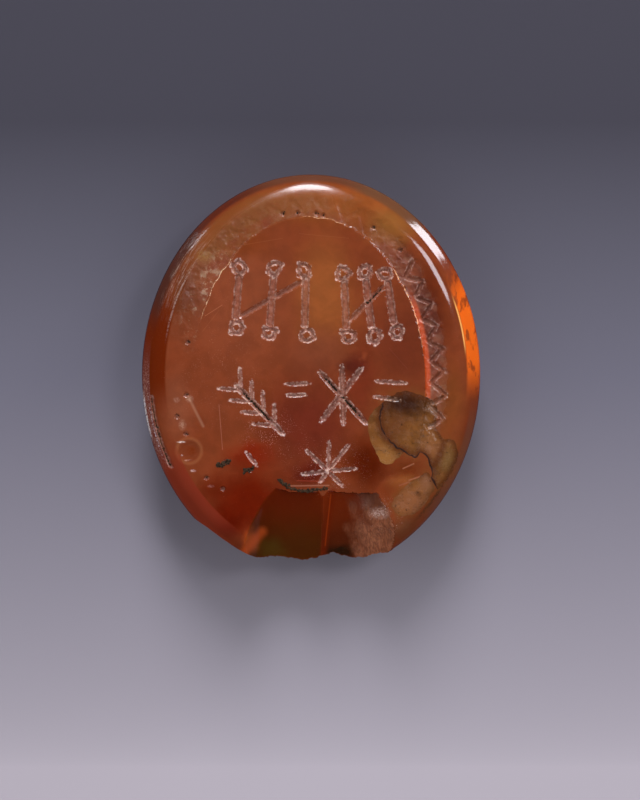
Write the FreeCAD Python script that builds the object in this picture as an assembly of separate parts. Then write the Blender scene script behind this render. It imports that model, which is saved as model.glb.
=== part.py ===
import FreeCAD, Part
import math
import os

# Intaglio gem: an oval ringstone cut from one piece of translucent carnelian, with signs and a zigzag
# border cut into its flat front face, pale mineral bodies grown into it, and its foot broken away.
# Frame: the origin is the centre of the flat back face. +Z leaves the engraved face, and +Y points
# to the top of the gem as its signs are read. All sizes are in millimetres.

# Blank: the polished oval before it was engraved
HALF_WIDTH = 7.2
HALF_HEIGHT = 8.5
THICKNESS = 3.6
BEVEL_INSET = 0.7
BEVEL_DROP = 0.75
BACK_INSET = 0.95
FACE_EDGE_RADIUS = 0.45
GIRDLE_RADIUS = 0.6
BACK_EDGE_RADIUS = 0.7
ARC_STEPS = 5

# Break across the foot, with the worn flat at its left, and the two flake scars above it
BREAK_SHARES = [
    (-0.73, -0.700), (-0.61, -0.768), (-0.53, -0.819), (-0.44, -0.870), (-0.36, -0.908), (-0.32, -0.922),
    (-0.18, -0.917), (-0.10, -0.932), (-0.02, -0.936), (0.05, -0.915), (0.13, -0.900), (0.19, -0.911),
    (0.25, -0.922), (0.32, -0.922), (0.38, -0.902), (0.45, -0.899), (0.56, -0.840),
]
BREAK_REACH = 2.2
LEDGE_SHARES = [
    (-0.500, -0.545), (-0.200, -0.570), (-0.135, -0.588), (0.080, -0.586), (0.260, -0.593), (0.600, -0.600),
]
SCAR_FOOT_SHARE = -1.05
LEFT_SCAR_START_SHARE = (-0.071, -0.518)
LEFT_SCAR_RADIUS = 2.2
LEFT_SCAR_TILT_DEG = 24.0
LEFT_SCAR_TURN_DEG = -7.0
RIGHT_SCAR_START_SHARE = (0.229, -0.518)
RIGHT_SCAR_RADIUS = 2.4
RIGHT_SCAR_TILT_DEG = 22.5
RIGHT_SCAR_TURN_DEG = 2.0

# Sunk channel of the border, and the zigzag cut in its floor
BORDER_SIDE_INSET = 1.7
BORDER_TOP_INSET = 0.9
BORDER_SHIFT_X = -0.1
BORDER_SHIFT_Y = -0.4
CHANNEL_INNER_REACH = 0.52
CHANNEL_OUTER_REACH = 0.40
CHANNEL_DEPTH = 0.12
CHANNEL_WALL_RUN = 0.08
ZIGZAG_REACH = 0.34
ZIGZAG_COUNT = 43
ZIGZAG_START_DEG = -44.0
ZIGZAG_END_DEG = 224.0
ZIGZAG_WIDTH = 0.24
ZIGZAG_FLOOR = 0.05
ZIGZAG_DEPTH = 0.14
ZIGZAG_EDGE_GAP = 0.03

# Cuts of the signs: the width at the face, the width of the floor, and the depth
BAR_WIDTH = 0.36
BAR_FLOOR = 0.20
BAR_DEPTH = 0.22
SLASH_WIDTH = 0.28
SLASH_FLOOR = 0.08
SLASH_DEPTH = 0.20
FINE_WIDTH = 0.18
FINE_FLOOR = 0.05
FINE_DEPTH = 0.12
END_RUN = 0.12
RING_RADIUS = 0.41
RING_ISLAND_RADIUS = 0.17
RING_WALL_RUN = 0.08
RING_DEPTH = 0.20
RING_CORNERS = 6
RING_TURN_STEP_DEG = 20.0

# Signs, as shares of the half width and half height
TALLY_SIGNS_SHARES = [
    {
        "tops": [(-0.424, 0.485), (-0.221, 0.487), (-0.031, 0.475)],
        "feet": [(-0.444, 0.284), (-0.241, 0.254), (-0.038, 0.244)],
        "top_rings": [(-0.421, 0.530), (-0.212, 0.528), (-0.041, 0.520)],
        "foot_rings": [(-0.440, 0.234), (-0.247, 0.202), (-0.024, 0.190)],
        "slash": [(-0.420, 0.285), (-0.050, 0.462)],
    },
    {
        "tops": [(0.196, 0.458), (0.324, 0.464), (0.451, 0.455)],
        "feet": [(0.207, 0.238), (0.354, 0.240), (0.486, 0.262)],
        "top_rings": [(0.186, 0.500), (0.316, 0.510), (0.434, 0.497)],
        "foot_rings": [(0.216, 0.188), (0.372, 0.190), (0.506, 0.212)],
        "slash": [(0.225, 0.262), (0.430, 0.440)],
    },
]
BRANCH_STEM_SHARES = [(-0.441, -0.055), (-0.162, -0.301)]
BRANCH_TWIG_STEP_SHARES = [0.10, 0.34, 0.58, 0.82]
BRANCH_TWIG_LENGTH = 0.95
BRANCH_TWIG_LEAN_DEG = 42.0
CROSSED_STROKES_SHARES = [
    [(0.052, 0.010), (0.330, -0.250)],
    [(0.300, 0.030), (0.060, -0.235)],
    [(0.180, 0.040), (0.190, -0.250)],
]
PAIRED_STROKES_SHARES = [
    [(-0.155, -0.050), (-0.006, -0.047)],
    [(-0.148, -0.107), (-0.026, -0.104)],
    [(0.378, -0.035), (0.563, -0.046)],
    [(0.372, -0.113), (0.527, -0.131)],
]
STAR_CENTRE_SHARES = (0.100, -0.483)
STAR_RAYS_SHARES = [
    (-0.029, -0.379), (0.106, -0.330), (0.222, -0.350), (0.268, -0.470),
    (0.188, -0.560), (0.050, -0.545), (-0.056, -0.500),
]
STRAY_STROKES_SHARES = [
    [(-0.382, -0.389), (-0.318, -0.456)],
    [(-0.715, -0.125), (-0.635, -0.260)],
]

# Pale mineral bodies, each reaching from the surface down into the stone
MINERAL_DEPTH = 1.1
SEAM_DEPTH = 1.3
SEAM_WIDTH = 0.07
SEAM_SHARES = [
    (0.424, -0.140), (0.406, -0.229), (0.429, -0.289), (0.476, -0.344), (0.553, -0.386), (0.606, -0.416),
    (0.641, -0.389), (0.682, -0.409), (0.706, -0.468), (0.718, -0.528), (0.747, -0.575),
]
PALE_BODIES_SHARES = {
    "pale_main_body": [
        (0.476, -0.105), (0.553, -0.085), (0.629, -0.100), (0.706, -0.125), (0.747, -0.179), (0.730, -0.254),
        (0.765, -0.309), (0.794, -0.349), (0.759, -0.409), (0.718, -0.500),
    ] + SEAM_SHARES[8::-1],
    "pale_left_lobe": [
        (0.359, -0.189), (0.335, -0.254), (0.353, -0.334), (0.388, -0.404), (0.429, -0.448), (0.488, -0.438),
    ] + SEAM_SHARES[4::-1],
    "pale_right_lobe": [
        (0.759, -0.409), (0.794, -0.349), (0.794, -0.299), (0.847, -0.329), (0.865, -0.389), (0.847, -0.458),
        (0.806, -0.518),
    ] + SEAM_SHARES[:7:-1],
    "pale_lower_patch": [
        (0.476, -0.638), (0.524, -0.588), (0.571, -0.548), (0.629, -0.518), (0.688, -0.490), (0.724, -0.558),
        (0.688, -0.628), (0.629, -0.683), (0.547, -0.708), (0.488, -0.683),
    ],
}

# Burial dirt packed in the cuts, pits and cracks
RIM_CRACK_INSET = 0.40
RIM_CRACK_WIDTH = 0.13
RIM_CRACK_DEPTH = 0.75
RIM_CRACK_START_DEG = 187.0
RIM_CRACK_END_DEG = 209.0
RIM_CRACK_STEPS = 10
LEDGE_DIRT_WIDTH = 0.20
LEDGE_DIRT_DROP = 0.12
LEDGE_DIRT_DEPTH = 0.80
GROOVE_DIRT_HEIGHT = 0.09
STEM_DIRT_SHARES = (0.16, 0.81)
CROSSED_DIRT_SHARES = (0.08, 0.89)
SLASH_DIRT_SHARES = (0.51, 0.95)
PIT_RADIUS = 0.10
PIT_DEPTH = 0.42
PIT_CORNERS = 6
PIT_SHARES = [
    (-0.165, 0.800), (-0.076, 0.805), (0.029, 0.802), (0.071, 0.792), (0.365, 0.730), (0.524, 0.620),
    (-0.724, 0.160), (-0.735, -0.105), (-0.790, -0.209), (-0.735, -0.299), (-0.612, -0.518), (-0.518, -0.573),
]
CLOD_RADIUS = 0.19
CLOD_SHARES = [(-0.500, -0.438), (-0.353, -0.478)]

# How far a cutter stands out past the surface that it cuts
OVERRUN = 0.15

FULL_TURN_DEG = 360.0
FACE = THICKNESS


def place(share, height=0.0):
    """The point at a share of the half width and half height, at that height."""
    return FreeCAD.Vector(HALF_WIDTH * share[0], HALF_HEIGHT * share[1], height)


def oval(half_width, half_height, height, shift_x=0.0, shift_y=0.0):
    """A closed oval wire with those half axes, lying flat at that height."""
    centre = FreeCAD.Vector(shift_x, shift_y, height)
    side = FreeCAD.Vector(half_width, 0, 0)
    top = FreeCAD.Vector(0, half_height, 0)
    if half_height > half_width:
        return Part.Wire([Part.Ellipse(centre + top, centre - side, centre).toShape()])
    return Part.Wire([Part.Ellipse(centre + side, centre + top, centre).toShape()])


def stacked(rings):
    """A solid with flat faces through polygons that have the same number of corners, lowest first."""
    faces = [
        Part.Face(Part.makePolygon(rings[0] + rings[0][:1])),
        Part.Face(Part.makePolygon(rings[-1] + rings[-1][:1])),
    ]
    for low, high in zip(rings, rings[1:]):
        for k in range(len(low)):
            n = (k + 1) % len(low)
            faces.append(Part.Face(Part.makePolygon([low[k], low[n], high[n], high[k], low[k]])))
    solid = Part.Solid(Part.Shell(faces))
    if solid.Volume < 0:
        solid.reverse()
    return solid


def prism(shares, low, high):
    """An upright solid over an outline given in shares, between two heights."""
    points = [place(share, low) for share in shares]
    face = Part.Face(Part.makePolygon(points + points[:1]))
    return face.extrude(FreeCAD.Vector(0, 0, high - low))


def rounded(before, corner, after, radius):
    """Points of the arc that rounds a corner of the profile, from the side of the point before it."""
    to_before = (before - corner).normalize()
    to_after = (after - corner).normalize()
    half = to_before.getAngle(to_after) / 2
    centre = corner + (to_before + to_after).normalize() * (radius / math.sin(half))
    start = corner + to_before * (radius / math.tan(half)) - centre
    end = corner + to_after * (radius / math.tan(half)) - centre
    turn = start.getAngle(end)
    points = []
    for step in range(ARC_STEPS + 1):
        part = step / ARC_STEPS
        points.append(centre + (start * math.sin((1 - part) * turn) + end * math.sin(part * turn))
                      * (1 / math.sin(turn)))
    return points


def blank():
    """The polished oval: back face, taper to the girdle, bevel, and flat front face."""
    back_middle = FreeCAD.Vector(HALF_WIDTH, 0, 0)
    back_edge = FreeCAD.Vector(BACK_INSET, 0, 0)
    girdle = FreeCAD.Vector(0, 0, FACE - BEVEL_DROP)
    face_edge = FreeCAD.Vector(BEVEL_INSET, 0, FACE)
    face_middle = FreeCAD.Vector(HALF_WIDTH, 0, FACE)
    profile = (
        rounded(back_middle, back_edge, girdle, BACK_EDGE_RADIUS)
        + rounded(back_edge, girdle, face_edge, GIRDLE_RADIUS)
        + rounded(girdle, face_edge, face_middle, FACE_EDGE_RADIUS)
    )
    widest = min(point.x for point in profile)
    insets = [point.x - widest for point in profile]
    ovals = [oval(HALF_WIDTH - inset, HALF_HEIGHT - inset, point.z) for inset, point in zip(insets, profile)]
    return Part.makeLoft(ovals, True, True)


def foot_break():
    """The cutter of the break, a wall through the whole thickness along the ragged lower edge."""
    low = -OVERRUN
    points = [place(share, low) for share in BREAK_SHARES]
    below = FreeCAD.Vector(0, -BREAK_REACH, 0)
    points += [points[-1] + below, points[0] + below]
    face = Part.Face(Part.makePolygon(points + points[:1]))
    return face.extrude(FreeCAD.Vector(0, 0, FACE + OVERRUN - low))


def scar(start_share, radius, tilt_deg, turn_deg):
    """The cutter of one flake scar: a round hollow that starts behind the ledge and deepens to the foot."""
    tilt = math.radians(tilt_deg)
    turn = math.radians(turn_deg)
    heading = FreeCAD.Vector(math.sin(turn), -math.cos(turn), 0)
    upright = FreeCAD.Vector(0, 0, 1)
    down_slope = heading * math.cos(tilt) - upright * math.sin(tilt)
    off_slope = heading * math.sin(tilt) + upright * math.cos(tilt)
    hollow = Part.makeCylinder(radius, HALF_HEIGHT, place(start_share, FACE) + off_slope * radius, down_slope)
    foot = [(LEDGE_SHARES[-1][0], SCAR_FOOT_SHARE), (LEDGE_SHARES[0][0], SCAR_FOOT_SHARE)]
    return hollow.common(prism(LEDGE_SHARES + foot, 0, FACE + OVERRUN))


def channel():
    """The cutter of the shallow channel that carries the border."""
    half_width = HALF_WIDTH - BORDER_SIDE_INSET
    half_height = HALF_HEIGHT - BORDER_TOP_INSET
    slope = CHANNEL_WALL_RUN / CHANNEL_DEPTH

    def plug(reach, lean):
        """A plug whose side is the channel's wall at that reach from the border's middle line."""
        return Part.makeLoft([
            oval(half_width + reach + lean * height, half_height + reach + lean * height,
                 FACE + height, BORDER_SHIFT_X, BORDER_SHIFT_Y)
            for height in (-CHANNEL_DEPTH, OVERRUN)
        ], True, True)

    return plug(CHANNEL_OUTER_REACH, slope).cut(plug(-CHANNEL_INNER_REACH, -slope))


def stroke(start, end, width, floor, depth):
    """The cutter of one engraved stroke between two points: sloping sides, and ends that run out."""
    along = FreeCAD.Vector(end.x - start.x, end.y - start.y, 0).normalize()
    across = FreeCAD.Vector(-along.y, along.x, 0)

    def ring(height):
        """The four corners of the stroke's plan at one height over the face."""
        half = width / 2 + (width - floor) / 2 * height / depth
        back = -END_RUN * height / depth
        return [
            FreeCAD.Vector(point.x, point.y, FACE + height) + across * side + along * shift
            for point, side, shift in (
                (start, -half, back), (end, -half, -back), (end, half, -back), (start, half, back)
            )
        ]

    return stacked([ring(-depth), ring(OVERRUN)])


def corners(centre, radius, count, height, turn_deg=0.0):
    """The corners of a regular polygon round a point."""
    return [
        FreeCAD.Vector(centre.x, centre.y, height) + FreeCAD.Vector(
            radius * math.cos(math.radians(turn_deg + FULL_TURN_DEG * k / count)),
            radius * math.sin(math.radians(turn_deg + FULL_TURN_DEG * k / count)), 0)
        for k in range(count)
    ]


def ring_terminal(centre, turn_deg):
    """The cutter of a ring at a bar's end: short straight cuts round a small island."""
    slope = RING_WALL_RUN / RING_DEPTH

    def plug(radius, lean):
        """A many-sided plug whose side is one wall of the ring."""
        return stacked([
            corners(centre, radius + lean * height, RING_CORNERS, FACE + height, turn_deg)
            for height in (-RING_DEPTH, OVERRUN)
        ])

    return plug(RING_RADIUS, slope).cut(plug(RING_ISLAND_RADIUS, -slope))


def tally_cuts():
    """Both upper signs: three upright bars with ring ends, tied by one rising slash."""
    cuts = []
    for sign in TALLY_SIGNS_SHARES:
        for top, foot in zip(sign["tops"], sign["feet"]):
            cuts.append(stroke(place(top), place(foot), BAR_WIDTH, BAR_FLOOR, BAR_DEPTH))
        for k, centre in enumerate(sign["top_rings"] + sign["foot_rings"]):
            cuts.append(ring_terminal(place(centre), k * RING_TURN_STEP_DEG))
    return cuts


def slash_cut(sign):
    """The slash of one upper sign."""
    start, end = sign["slash"]
    return stroke(place(start), place(end), SLASH_WIDTH, SLASH_FLOOR, SLASH_DEPTH)


def stem_cut():
    """The stem of the branch sign, a wide diagonal cut."""
    start, end = BRANCH_STEM_SHARES
    return stroke(place(start), place(end), SLASH_WIDTH, SLASH_FLOOR, SLASH_DEPTH)


def twig_cuts():
    """The twigs of the branch sign, in pairs along its stem."""
    start, end = [place(share) for share in BRANCH_STEM_SHARES]
    heading = math.atan2(end.y - start.y, end.x - start.x)
    cuts = []
    for step in BRANCH_TWIG_STEP_SHARES:
        root = start + (end - start) * step
        for side in (-1, 1):
            angle = heading + math.pi + side * math.radians(BRANCH_TWIG_LEAN_DEG)
            tip = root + FreeCAD.Vector(math.cos(angle), math.sin(angle), 0) * BRANCH_TWIG_LENGTH
            cuts.append(stroke(root, tip, FINE_WIDTH, FINE_FLOOR, FINE_DEPTH))
    return cuts


def crossed_cuts():
    """The sign of three long strokes that cross in one point."""
    return [
        stroke(place(start), place(end), SLASH_WIDTH, SLASH_FLOOR, SLASH_DEPTH)
        for start, end in CROSSED_STROKES_SHARES
    ]


def fine_cuts():
    """The paired short strokes, the small star, and the stray strokes."""
    pairs = PAIRED_STROKES_SHARES + STRAY_STROKES_SHARES
    pairs = pairs + [[STAR_CENTRE_SHARES, ray] for ray in STAR_RAYS_SHARES]
    return [stroke(place(start), place(end), FINE_WIDTH, FINE_FLOOR, FINE_DEPTH) for start, end in pairs]


def banded(points, half, height):
    """The outline of a band along a bent line, with its corners mitred, at one height."""
    left = []
    right = []
    for k, point in enumerate(points):
        before = (point - points[k - 1]) if k else (points[1] - point)
        after = (points[k + 1] - point) if k + 1 < len(points) else before
        normal = FreeCAD.Vector(-before.y, before.x, 0).normalize()
        mitre = (normal + FreeCAD.Vector(-after.y, after.x, 0).normalize()).normalize()
        offset = mitre * (half / mitre.dot(normal))
        left.append(FreeCAD.Vector(point.x, point.y, height) + offset)
        right.append(FreeCAD.Vector(point.x, point.y, height) - offset)
    return left + right[::-1]


def zigzag():
    """The cutter of the border's zigzag, from just over the channel's floor down."""
    half_width = HALF_WIDTH - BORDER_SIDE_INSET
    half_height = HALF_HEIGHT - BORDER_TOP_INSET
    middle = FreeCAD.Vector(BORDER_SHIFT_X, BORDER_SHIFT_Y, 0)
    line = oval(half_width, half_height, 0, BORDER_SHIFT_X, BORDER_SHIFT_Y).discretize(2 * ZIGZAG_COUNT + 1)
    corner_list = []
    for k, point in enumerate(line[:-1]):
        local = point - middle
        turn_deg = math.degrees(math.atan2(local.y / half_height, local.x / half_width))
        turn_deg = (turn_deg - ZIGZAG_START_DEG) % FULL_TURN_DEG
        outward = FreeCAD.Vector(local.x / half_width ** 2, local.y / half_height ** 2, 0).normalize()
        reach = ZIGZAG_REACH if k % 2 else -ZIGZAG_REACH
        if turn_deg < ZIGZAG_END_DEG - ZIGZAG_START_DEG:
            corner_list.append((turn_deg, point + outward * reach))
    points = [point for turn_deg, point in sorted(corner_list, key=lambda entry: entry[0])]
    slope = (ZIGZAG_WIDTH - ZIGZAG_FLOOR) / 2 / ZIGZAG_DEPTH
    band = stacked([
        banded(points, ZIGZAG_WIDTH / 2 + slope * height, FACE - CHANNEL_DEPTH + height)
        for height in (-ZIGZAG_DEPTH, CHANNEL_DEPTH / 2)
    ])

    def column(reach):
        """An upright column whose side stands at that reach from the border's middle line."""
        foot = oval(half_width + reach, half_height + reach, FACE - CHANNEL_DEPTH - 2 * ZIGZAG_DEPTH,
                    BORDER_SHIFT_X, BORDER_SHIFT_Y)
        return Part.Face(foot).extrude(FreeCAD.Vector(0, 0, CHANNEL_DEPTH + 2 * ZIGZAG_DEPTH))

    outer = column(CHANNEL_OUTER_REACH - ZIGZAG_EDGE_GAP)
    inner = column(ZIGZAG_EDGE_GAP - CHANNEL_INNER_REACH)
    return band.common(outer).cut(inner)


def rim_crack():
    """The crack along the left bevel: a narrow curved slot that follows the oval."""
    outline = []
    for inset, order in ((RIM_CRACK_INSET, 1), (RIM_CRACK_INSET + RIM_CRACK_WIDTH, -1)):
        side = []
        for step in range(RIM_CRACK_STEPS + 1):
            part = step / RIM_CRACK_STEPS
            turn = math.radians(RIM_CRACK_START_DEG + (RIM_CRACK_END_DEG - RIM_CRACK_START_DEG) * part)
            side.append(FreeCAD.Vector((HALF_WIDTH - inset) * math.cos(turn),
                                       (HALF_HEIGHT - inset) * math.sin(turn), FACE - RIM_CRACK_DEPTH))
        outline += side[::order]
    face = Part.Face(Part.makePolygon(outline + outline[:1]))
    return face.extrude(FreeCAD.Vector(0, 0, RIM_CRACK_DEPTH + OVERRUN))


def pit(centre, radius):
    """The cutter of a small pit."""
    return stacked([
        corners(centre, radius, PIT_CORNERS, FACE - PIT_DEPTH),
        corners(centre, radius, PIT_CORNERS, FACE + OVERRUN),
    ])


def strip(points, width, low, high):
    """An upright strip of that width along a line of points, between two heights."""
    outline = banded(points, width / 2, low)
    face = Part.Face(Part.makePolygon(outline + outline[:1]))
    return face.extrude(FreeCAD.Vector(0, 0, high - low))


def groove_dirt(cut, line_shares, stretch_shares):
    """Dirt on the floor of one stroke, along a stretch given in shares of the stroke's own length."""
    start, end = [place(share) for share in line_shares]
    points = [start + (end - start) * share for share in stretch_shares]
    low = FACE - SLASH_DEPTH
    return cut.common(strip(points, 2 * SLASH_WIDTH, low, low + GROOVE_DIRT_HEIGHT))


def cut_by(shape, cutters):
    """The shape less those of the cutters that come near it."""
    near = [cutter for cutter in cutters if shape.BoundBox.intersect(cutter.BoundBox)]
    return shape.cut(near) if near else shape


def main():
    """Builds every piece and writes one file for each."""
    slashes = [slash_cut(sign) for sign in TALLY_SIGNS_SHARES]
    stem = stem_cut()
    crossed = crossed_cuts()
    scars = [
        scar(LEFT_SCAR_START_SHARE, LEFT_SCAR_RADIUS, LEFT_SCAR_TILT_DEG, LEFT_SCAR_TURN_DEG),
        scar(RIGHT_SCAR_START_SHARE, RIGHT_SCAR_RADIUS, RIGHT_SCAR_TILT_DEG, RIGHT_SCAR_TURN_DEG),
    ]
    groups = [
        [channel()],
        [zigzag()],
        tally_cuts(),
        slashes + [stem] + twig_cuts() + crossed + fine_cuts(),
        [foot_break()] + scars,
    ]

    def finished(shape):
        """A piece with every cut of the engraver and of the breaks that crosses it."""
        for group in groups:
            shape = cut_by(shape, group)
        return shape

    oval_blank = blank()
    high = FACE + OVERRUN
    seam_line = [place(share) for share in SEAM_SHARES]
    pockets = {"dark_seam": strip(seam_line, SEAM_WIDTH, FACE - SEAM_DEPTH, high)}
    for name, shares in PALE_BODIES_SHARES.items():
        pockets[name] = prism(shares, FACE - MINERAL_DEPTH, high)
    pockets["rim_crack_dirt"] = rim_crack()
    for k, share in enumerate(PIT_SHARES):
        pockets["pit_dirt_%d" % (k + 1)] = pit(place(share), PIT_RADIUS)
    for k, share in enumerate(CLOD_SHARES):
        pockets["clod_dirt_%d" % (k + 1)] = pit(place(share), CLOD_RADIUS)

    pieces = {}
    taken = []
    for name, pocket in pockets.items():
        pieces[name] = finished(cut_by(oval_blank.common(pocket), taken))
        taken.append(pocket)
    pieces["carnelian_stone"] = finished(oval_blank.cut(taken))

    ledge_line = [place(share) for share in LEDGE_SHARES[1:4]]
    ledge = strip(ledge_line, LEDGE_DIRT_WIDTH, FACE - LEDGE_DIRT_DEPTH, FACE - LEDGE_DIRT_DROP)
    pieces["ledge_dirt"] = ledge.common(scars[0])
    pieces["branch_stem_dirt"] = groove_dirt(stem, BRANCH_STEM_SHARES, STEM_DIRT_SHARES)
    pieces["crossed_stroke_dirt"] = groove_dirt(crossed[0], CROSSED_STROKES_SHARES[0], CROSSED_DIRT_SHARES)
    pieces["slash_dirt"] = groove_dirt(slashes[1], TALLY_SIGNS_SHARES[1]["slash"], SLASH_DIRT_SHARES)

    os.makedirs("parts", exist_ok=True)
    for name, shape in pieces.items():
        solids = shape.Solids
        solid = solids[0] if len(solids) == 1 else Part.makeCompound(solids)
        print(name, len(solids), round(shape.Volume, 4), solid.isValid())
        solid.exportStep("parts/" + name + ".step")


main()
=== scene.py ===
"""The looks of an oval intaglio gem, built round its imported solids.

The stone's front is one fine sheet. Graver passes cut the border and the signs into it, and it is then
closed into solids: the stone, and the pale mineral bodies that grew in it. The shapes are worked out in
millimetres in the frame of the solids, and turned into metres where a mesh is made.
"""

import sys

import functools
import logging
import math
from dataclasses import dataclass, field
from enum import Enum
from typing import Callable, Dict, List, Optional, Sequence, Tuple, Union

import bmesh
import bpy
import numpy as np
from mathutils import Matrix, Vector
from mathutils.geometry import delaunay_2d_cdt, tessellate_polygon


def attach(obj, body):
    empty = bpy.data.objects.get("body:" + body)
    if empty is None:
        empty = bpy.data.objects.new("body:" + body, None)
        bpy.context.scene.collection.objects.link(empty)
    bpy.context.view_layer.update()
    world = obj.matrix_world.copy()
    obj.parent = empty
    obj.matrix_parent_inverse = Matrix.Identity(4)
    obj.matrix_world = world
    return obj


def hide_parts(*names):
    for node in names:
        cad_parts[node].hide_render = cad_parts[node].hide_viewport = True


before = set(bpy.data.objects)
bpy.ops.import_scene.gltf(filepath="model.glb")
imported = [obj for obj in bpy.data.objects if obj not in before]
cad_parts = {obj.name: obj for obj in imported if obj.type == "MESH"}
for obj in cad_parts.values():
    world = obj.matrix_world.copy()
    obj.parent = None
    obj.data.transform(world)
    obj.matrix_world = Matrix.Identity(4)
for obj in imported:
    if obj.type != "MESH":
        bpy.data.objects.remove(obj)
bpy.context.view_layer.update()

MM = 0.001
FULL_TURN = 2 * math.pi
FLAT = (1.0, 1.0, 0.0)
REFRACTION = 1.54
BREAK_WALL = "break_wall"
MERGE_DISTANCE = 2e-7
SMALLEST_EDGE = 1e-8
SHARP_DEG = 50
BODY = "root"

Point = Tuple[float, float]
Colour = Tuple[float, float, float]
Value = Union[float, str, Sequence[float], bpy.types.Object, bpy.types.NodeSocket]

log = logging.getLogger("intaglio_gem")


class Region(Enum):
    """What a triangle of the stone's front sheet belongs to."""

    STONE = 0
    SEAM = 1
    MAIN_BODY = 2
    LEFT_LOBE = 3
    RIGHT_LOBE = 4
    LOWER_PATCH = 5


class Mark(Enum):
    """The attributes that the stone's points carry for the cuts and the materials."""

    CHANNEL = "channel"
    CUT = "cut"
    FROST = "frost"
    INSET = "inset"
    REACH = "reach"
    RUN = "run"
    SCAR = "scar"
    ROUGH = "rough"
    HALO = "halo"


def tone(code: str) -> Colour:
    """The linear colour of a six-digit sRGB code.

    Args:
        code: The colour as six hexadecimal digits.

    Returns:
        The linear red, green and blue.
    """
    channels = []
    for k in (0, 2, 4):
        share = int(code[k:k + 2], 16) / 255
        channels.append(share / 12.92 if share <= 0.04045 else ((share + 0.055) / 1.055) ** 2.4)
    return channels[0], channels[1], channels[2]


def ripple(places: np.ndarray, wavelength: float, seed: int, waves: int = 7) -> np.ndarray:
    """A smooth uneven field between about -1 and 1.

    Args:
        places: The points, one row each.
        wavelength: The typical distance between its crests.
        seed: What fixes the waves' headings and phases.
        waves: How many waves are summed.

    Returns:
        One value for each point.
    """
    draw = np.random.default_rng(seed)
    total = np.zeros(len(places))
    for _ in range(waves):
        heading = draw.normal(size=places.shape[1])
        heading /= np.linalg.norm(heading)
        stretch = draw.uniform(0.6, 1.7)
        total += np.sin(places @ heading * FULL_TURN * stretch / wavelength + draw.uniform(0, FULL_TURN))
    return total / math.sqrt(waves)


def smooth_chain(points: Sequence[Point], spacing: float, closed: bool = False) -> np.ndarray:
    """A smooth line through given points.

    Args:
        points: The points that the line passes through.
        spacing: The distance between the line's own points.
        closed: Whether the line returns to its start.

    Returns:
        The line's points, without a repeat of the first at the end.
    """
    given = np.array(points, float)
    if closed:
        padded = np.vstack([given[-1:], given, given[:2]])
    else:
        padded = np.vstack([2 * given[0] - given[1], given, 2 * given[-1] - given[-2]])
    line = []
    for k in range(1, len(padded) - 2):
        before, start, end, after = padded[k - 1:k + 3]
        steps = max(1, int(round(np.linalg.norm(end - start) / spacing)))
        for t in np.arange(steps) / steps:
            line.append(0.5 * (2 * start + (end - before) * t
                               + (2 * before - 5 * start + 4 * end - after) * t ** 2
                               + (3 * start - before - 3 * end + after) * t ** 3))
    if not closed:
        line.append(given[-1])
    return np.array(line)


def inside(places: np.ndarray, outline: np.ndarray) -> np.ndarray:
    """Which points lie inside a closed outline.

    Args:
        places: The points in plan.
        outline: The outline's corners in order.

    Returns:
        One truth value for each point.
    """
    found = np.zeros(len(places), bool)
    ends = np.roll(outline, -1, axis=0)
    for (x0, y0), (x1, y1) in zip(outline, ends):
        if y0 == y1:
            continue
        crosses = (places[:, 1] > y0) != (places[:, 1] > y1)
        at = x0 + (places[:, 1] - y0) / (y1 - y0) * (x1 - x0)
        found ^= crosses & (places[:, 0] < at)
    return found


def gap_to_runs(places: np.ndarray, runs: np.ndarray) -> np.ndarray:
    """The distance in plan from each point to the nearest of many straight runs.

    Args:
        places: The points in plan.
        runs: The runs, each as its start and end in one row of four numbers.

    Returns:
        One distance for each point.
    """
    nearest = np.full(len(places), np.inf)
    for x0, y0, x1, y1 in runs:
        along = np.array([x1 - x0, y1 - y0])
        offset = places - (x0, y0)
        t = np.clip(offset @ along / max(along @ along, 1e-12), 0, 1)
        nearest = np.minimum(nearest, np.hypot(offset[:, 0] - t * along[0], offset[:, 1] - t * along[1]))
    return nearest


@dataclass(frozen=True)
class Oval:
    """An oval that lies flat, given by its half axes and the place of its middle."""

    half_width: float
    half_height: float
    shift_x: float = 0.0
    shift_y: float = 0.0

    def points(self, turns: np.ndarray) -> np.ndarray:
        """Points of the oval at those turns, in radians from the right."""
        return np.column_stack([self.shift_x + self.half_width * np.cos(turns),
                                self.shift_y + self.half_height * np.sin(turns)])

    def turn(self, places: np.ndarray) -> np.ndarray:
        """The turn of each point round the oval's middle, on the oval's own scale."""
        return np.arctan2((places[:, 1] - self.shift_y) / self.half_height,
                          (places[:, 0] - self.shift_x) / self.half_width)

    def reach(self, places: np.ndarray) -> np.ndarray:
        """How far each point lies outside the oval's line, below zero for the inside."""
        x = (places[:, 0] - self.shift_x) / self.half_width
        y = (places[:, 1] - self.shift_y) / self.half_height
        share = np.maximum(np.hypot(x, y), 1e-9)
        return (share - 1) * share / np.maximum(np.hypot(x / self.half_width, y / self.half_height), 1e-9)


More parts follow.
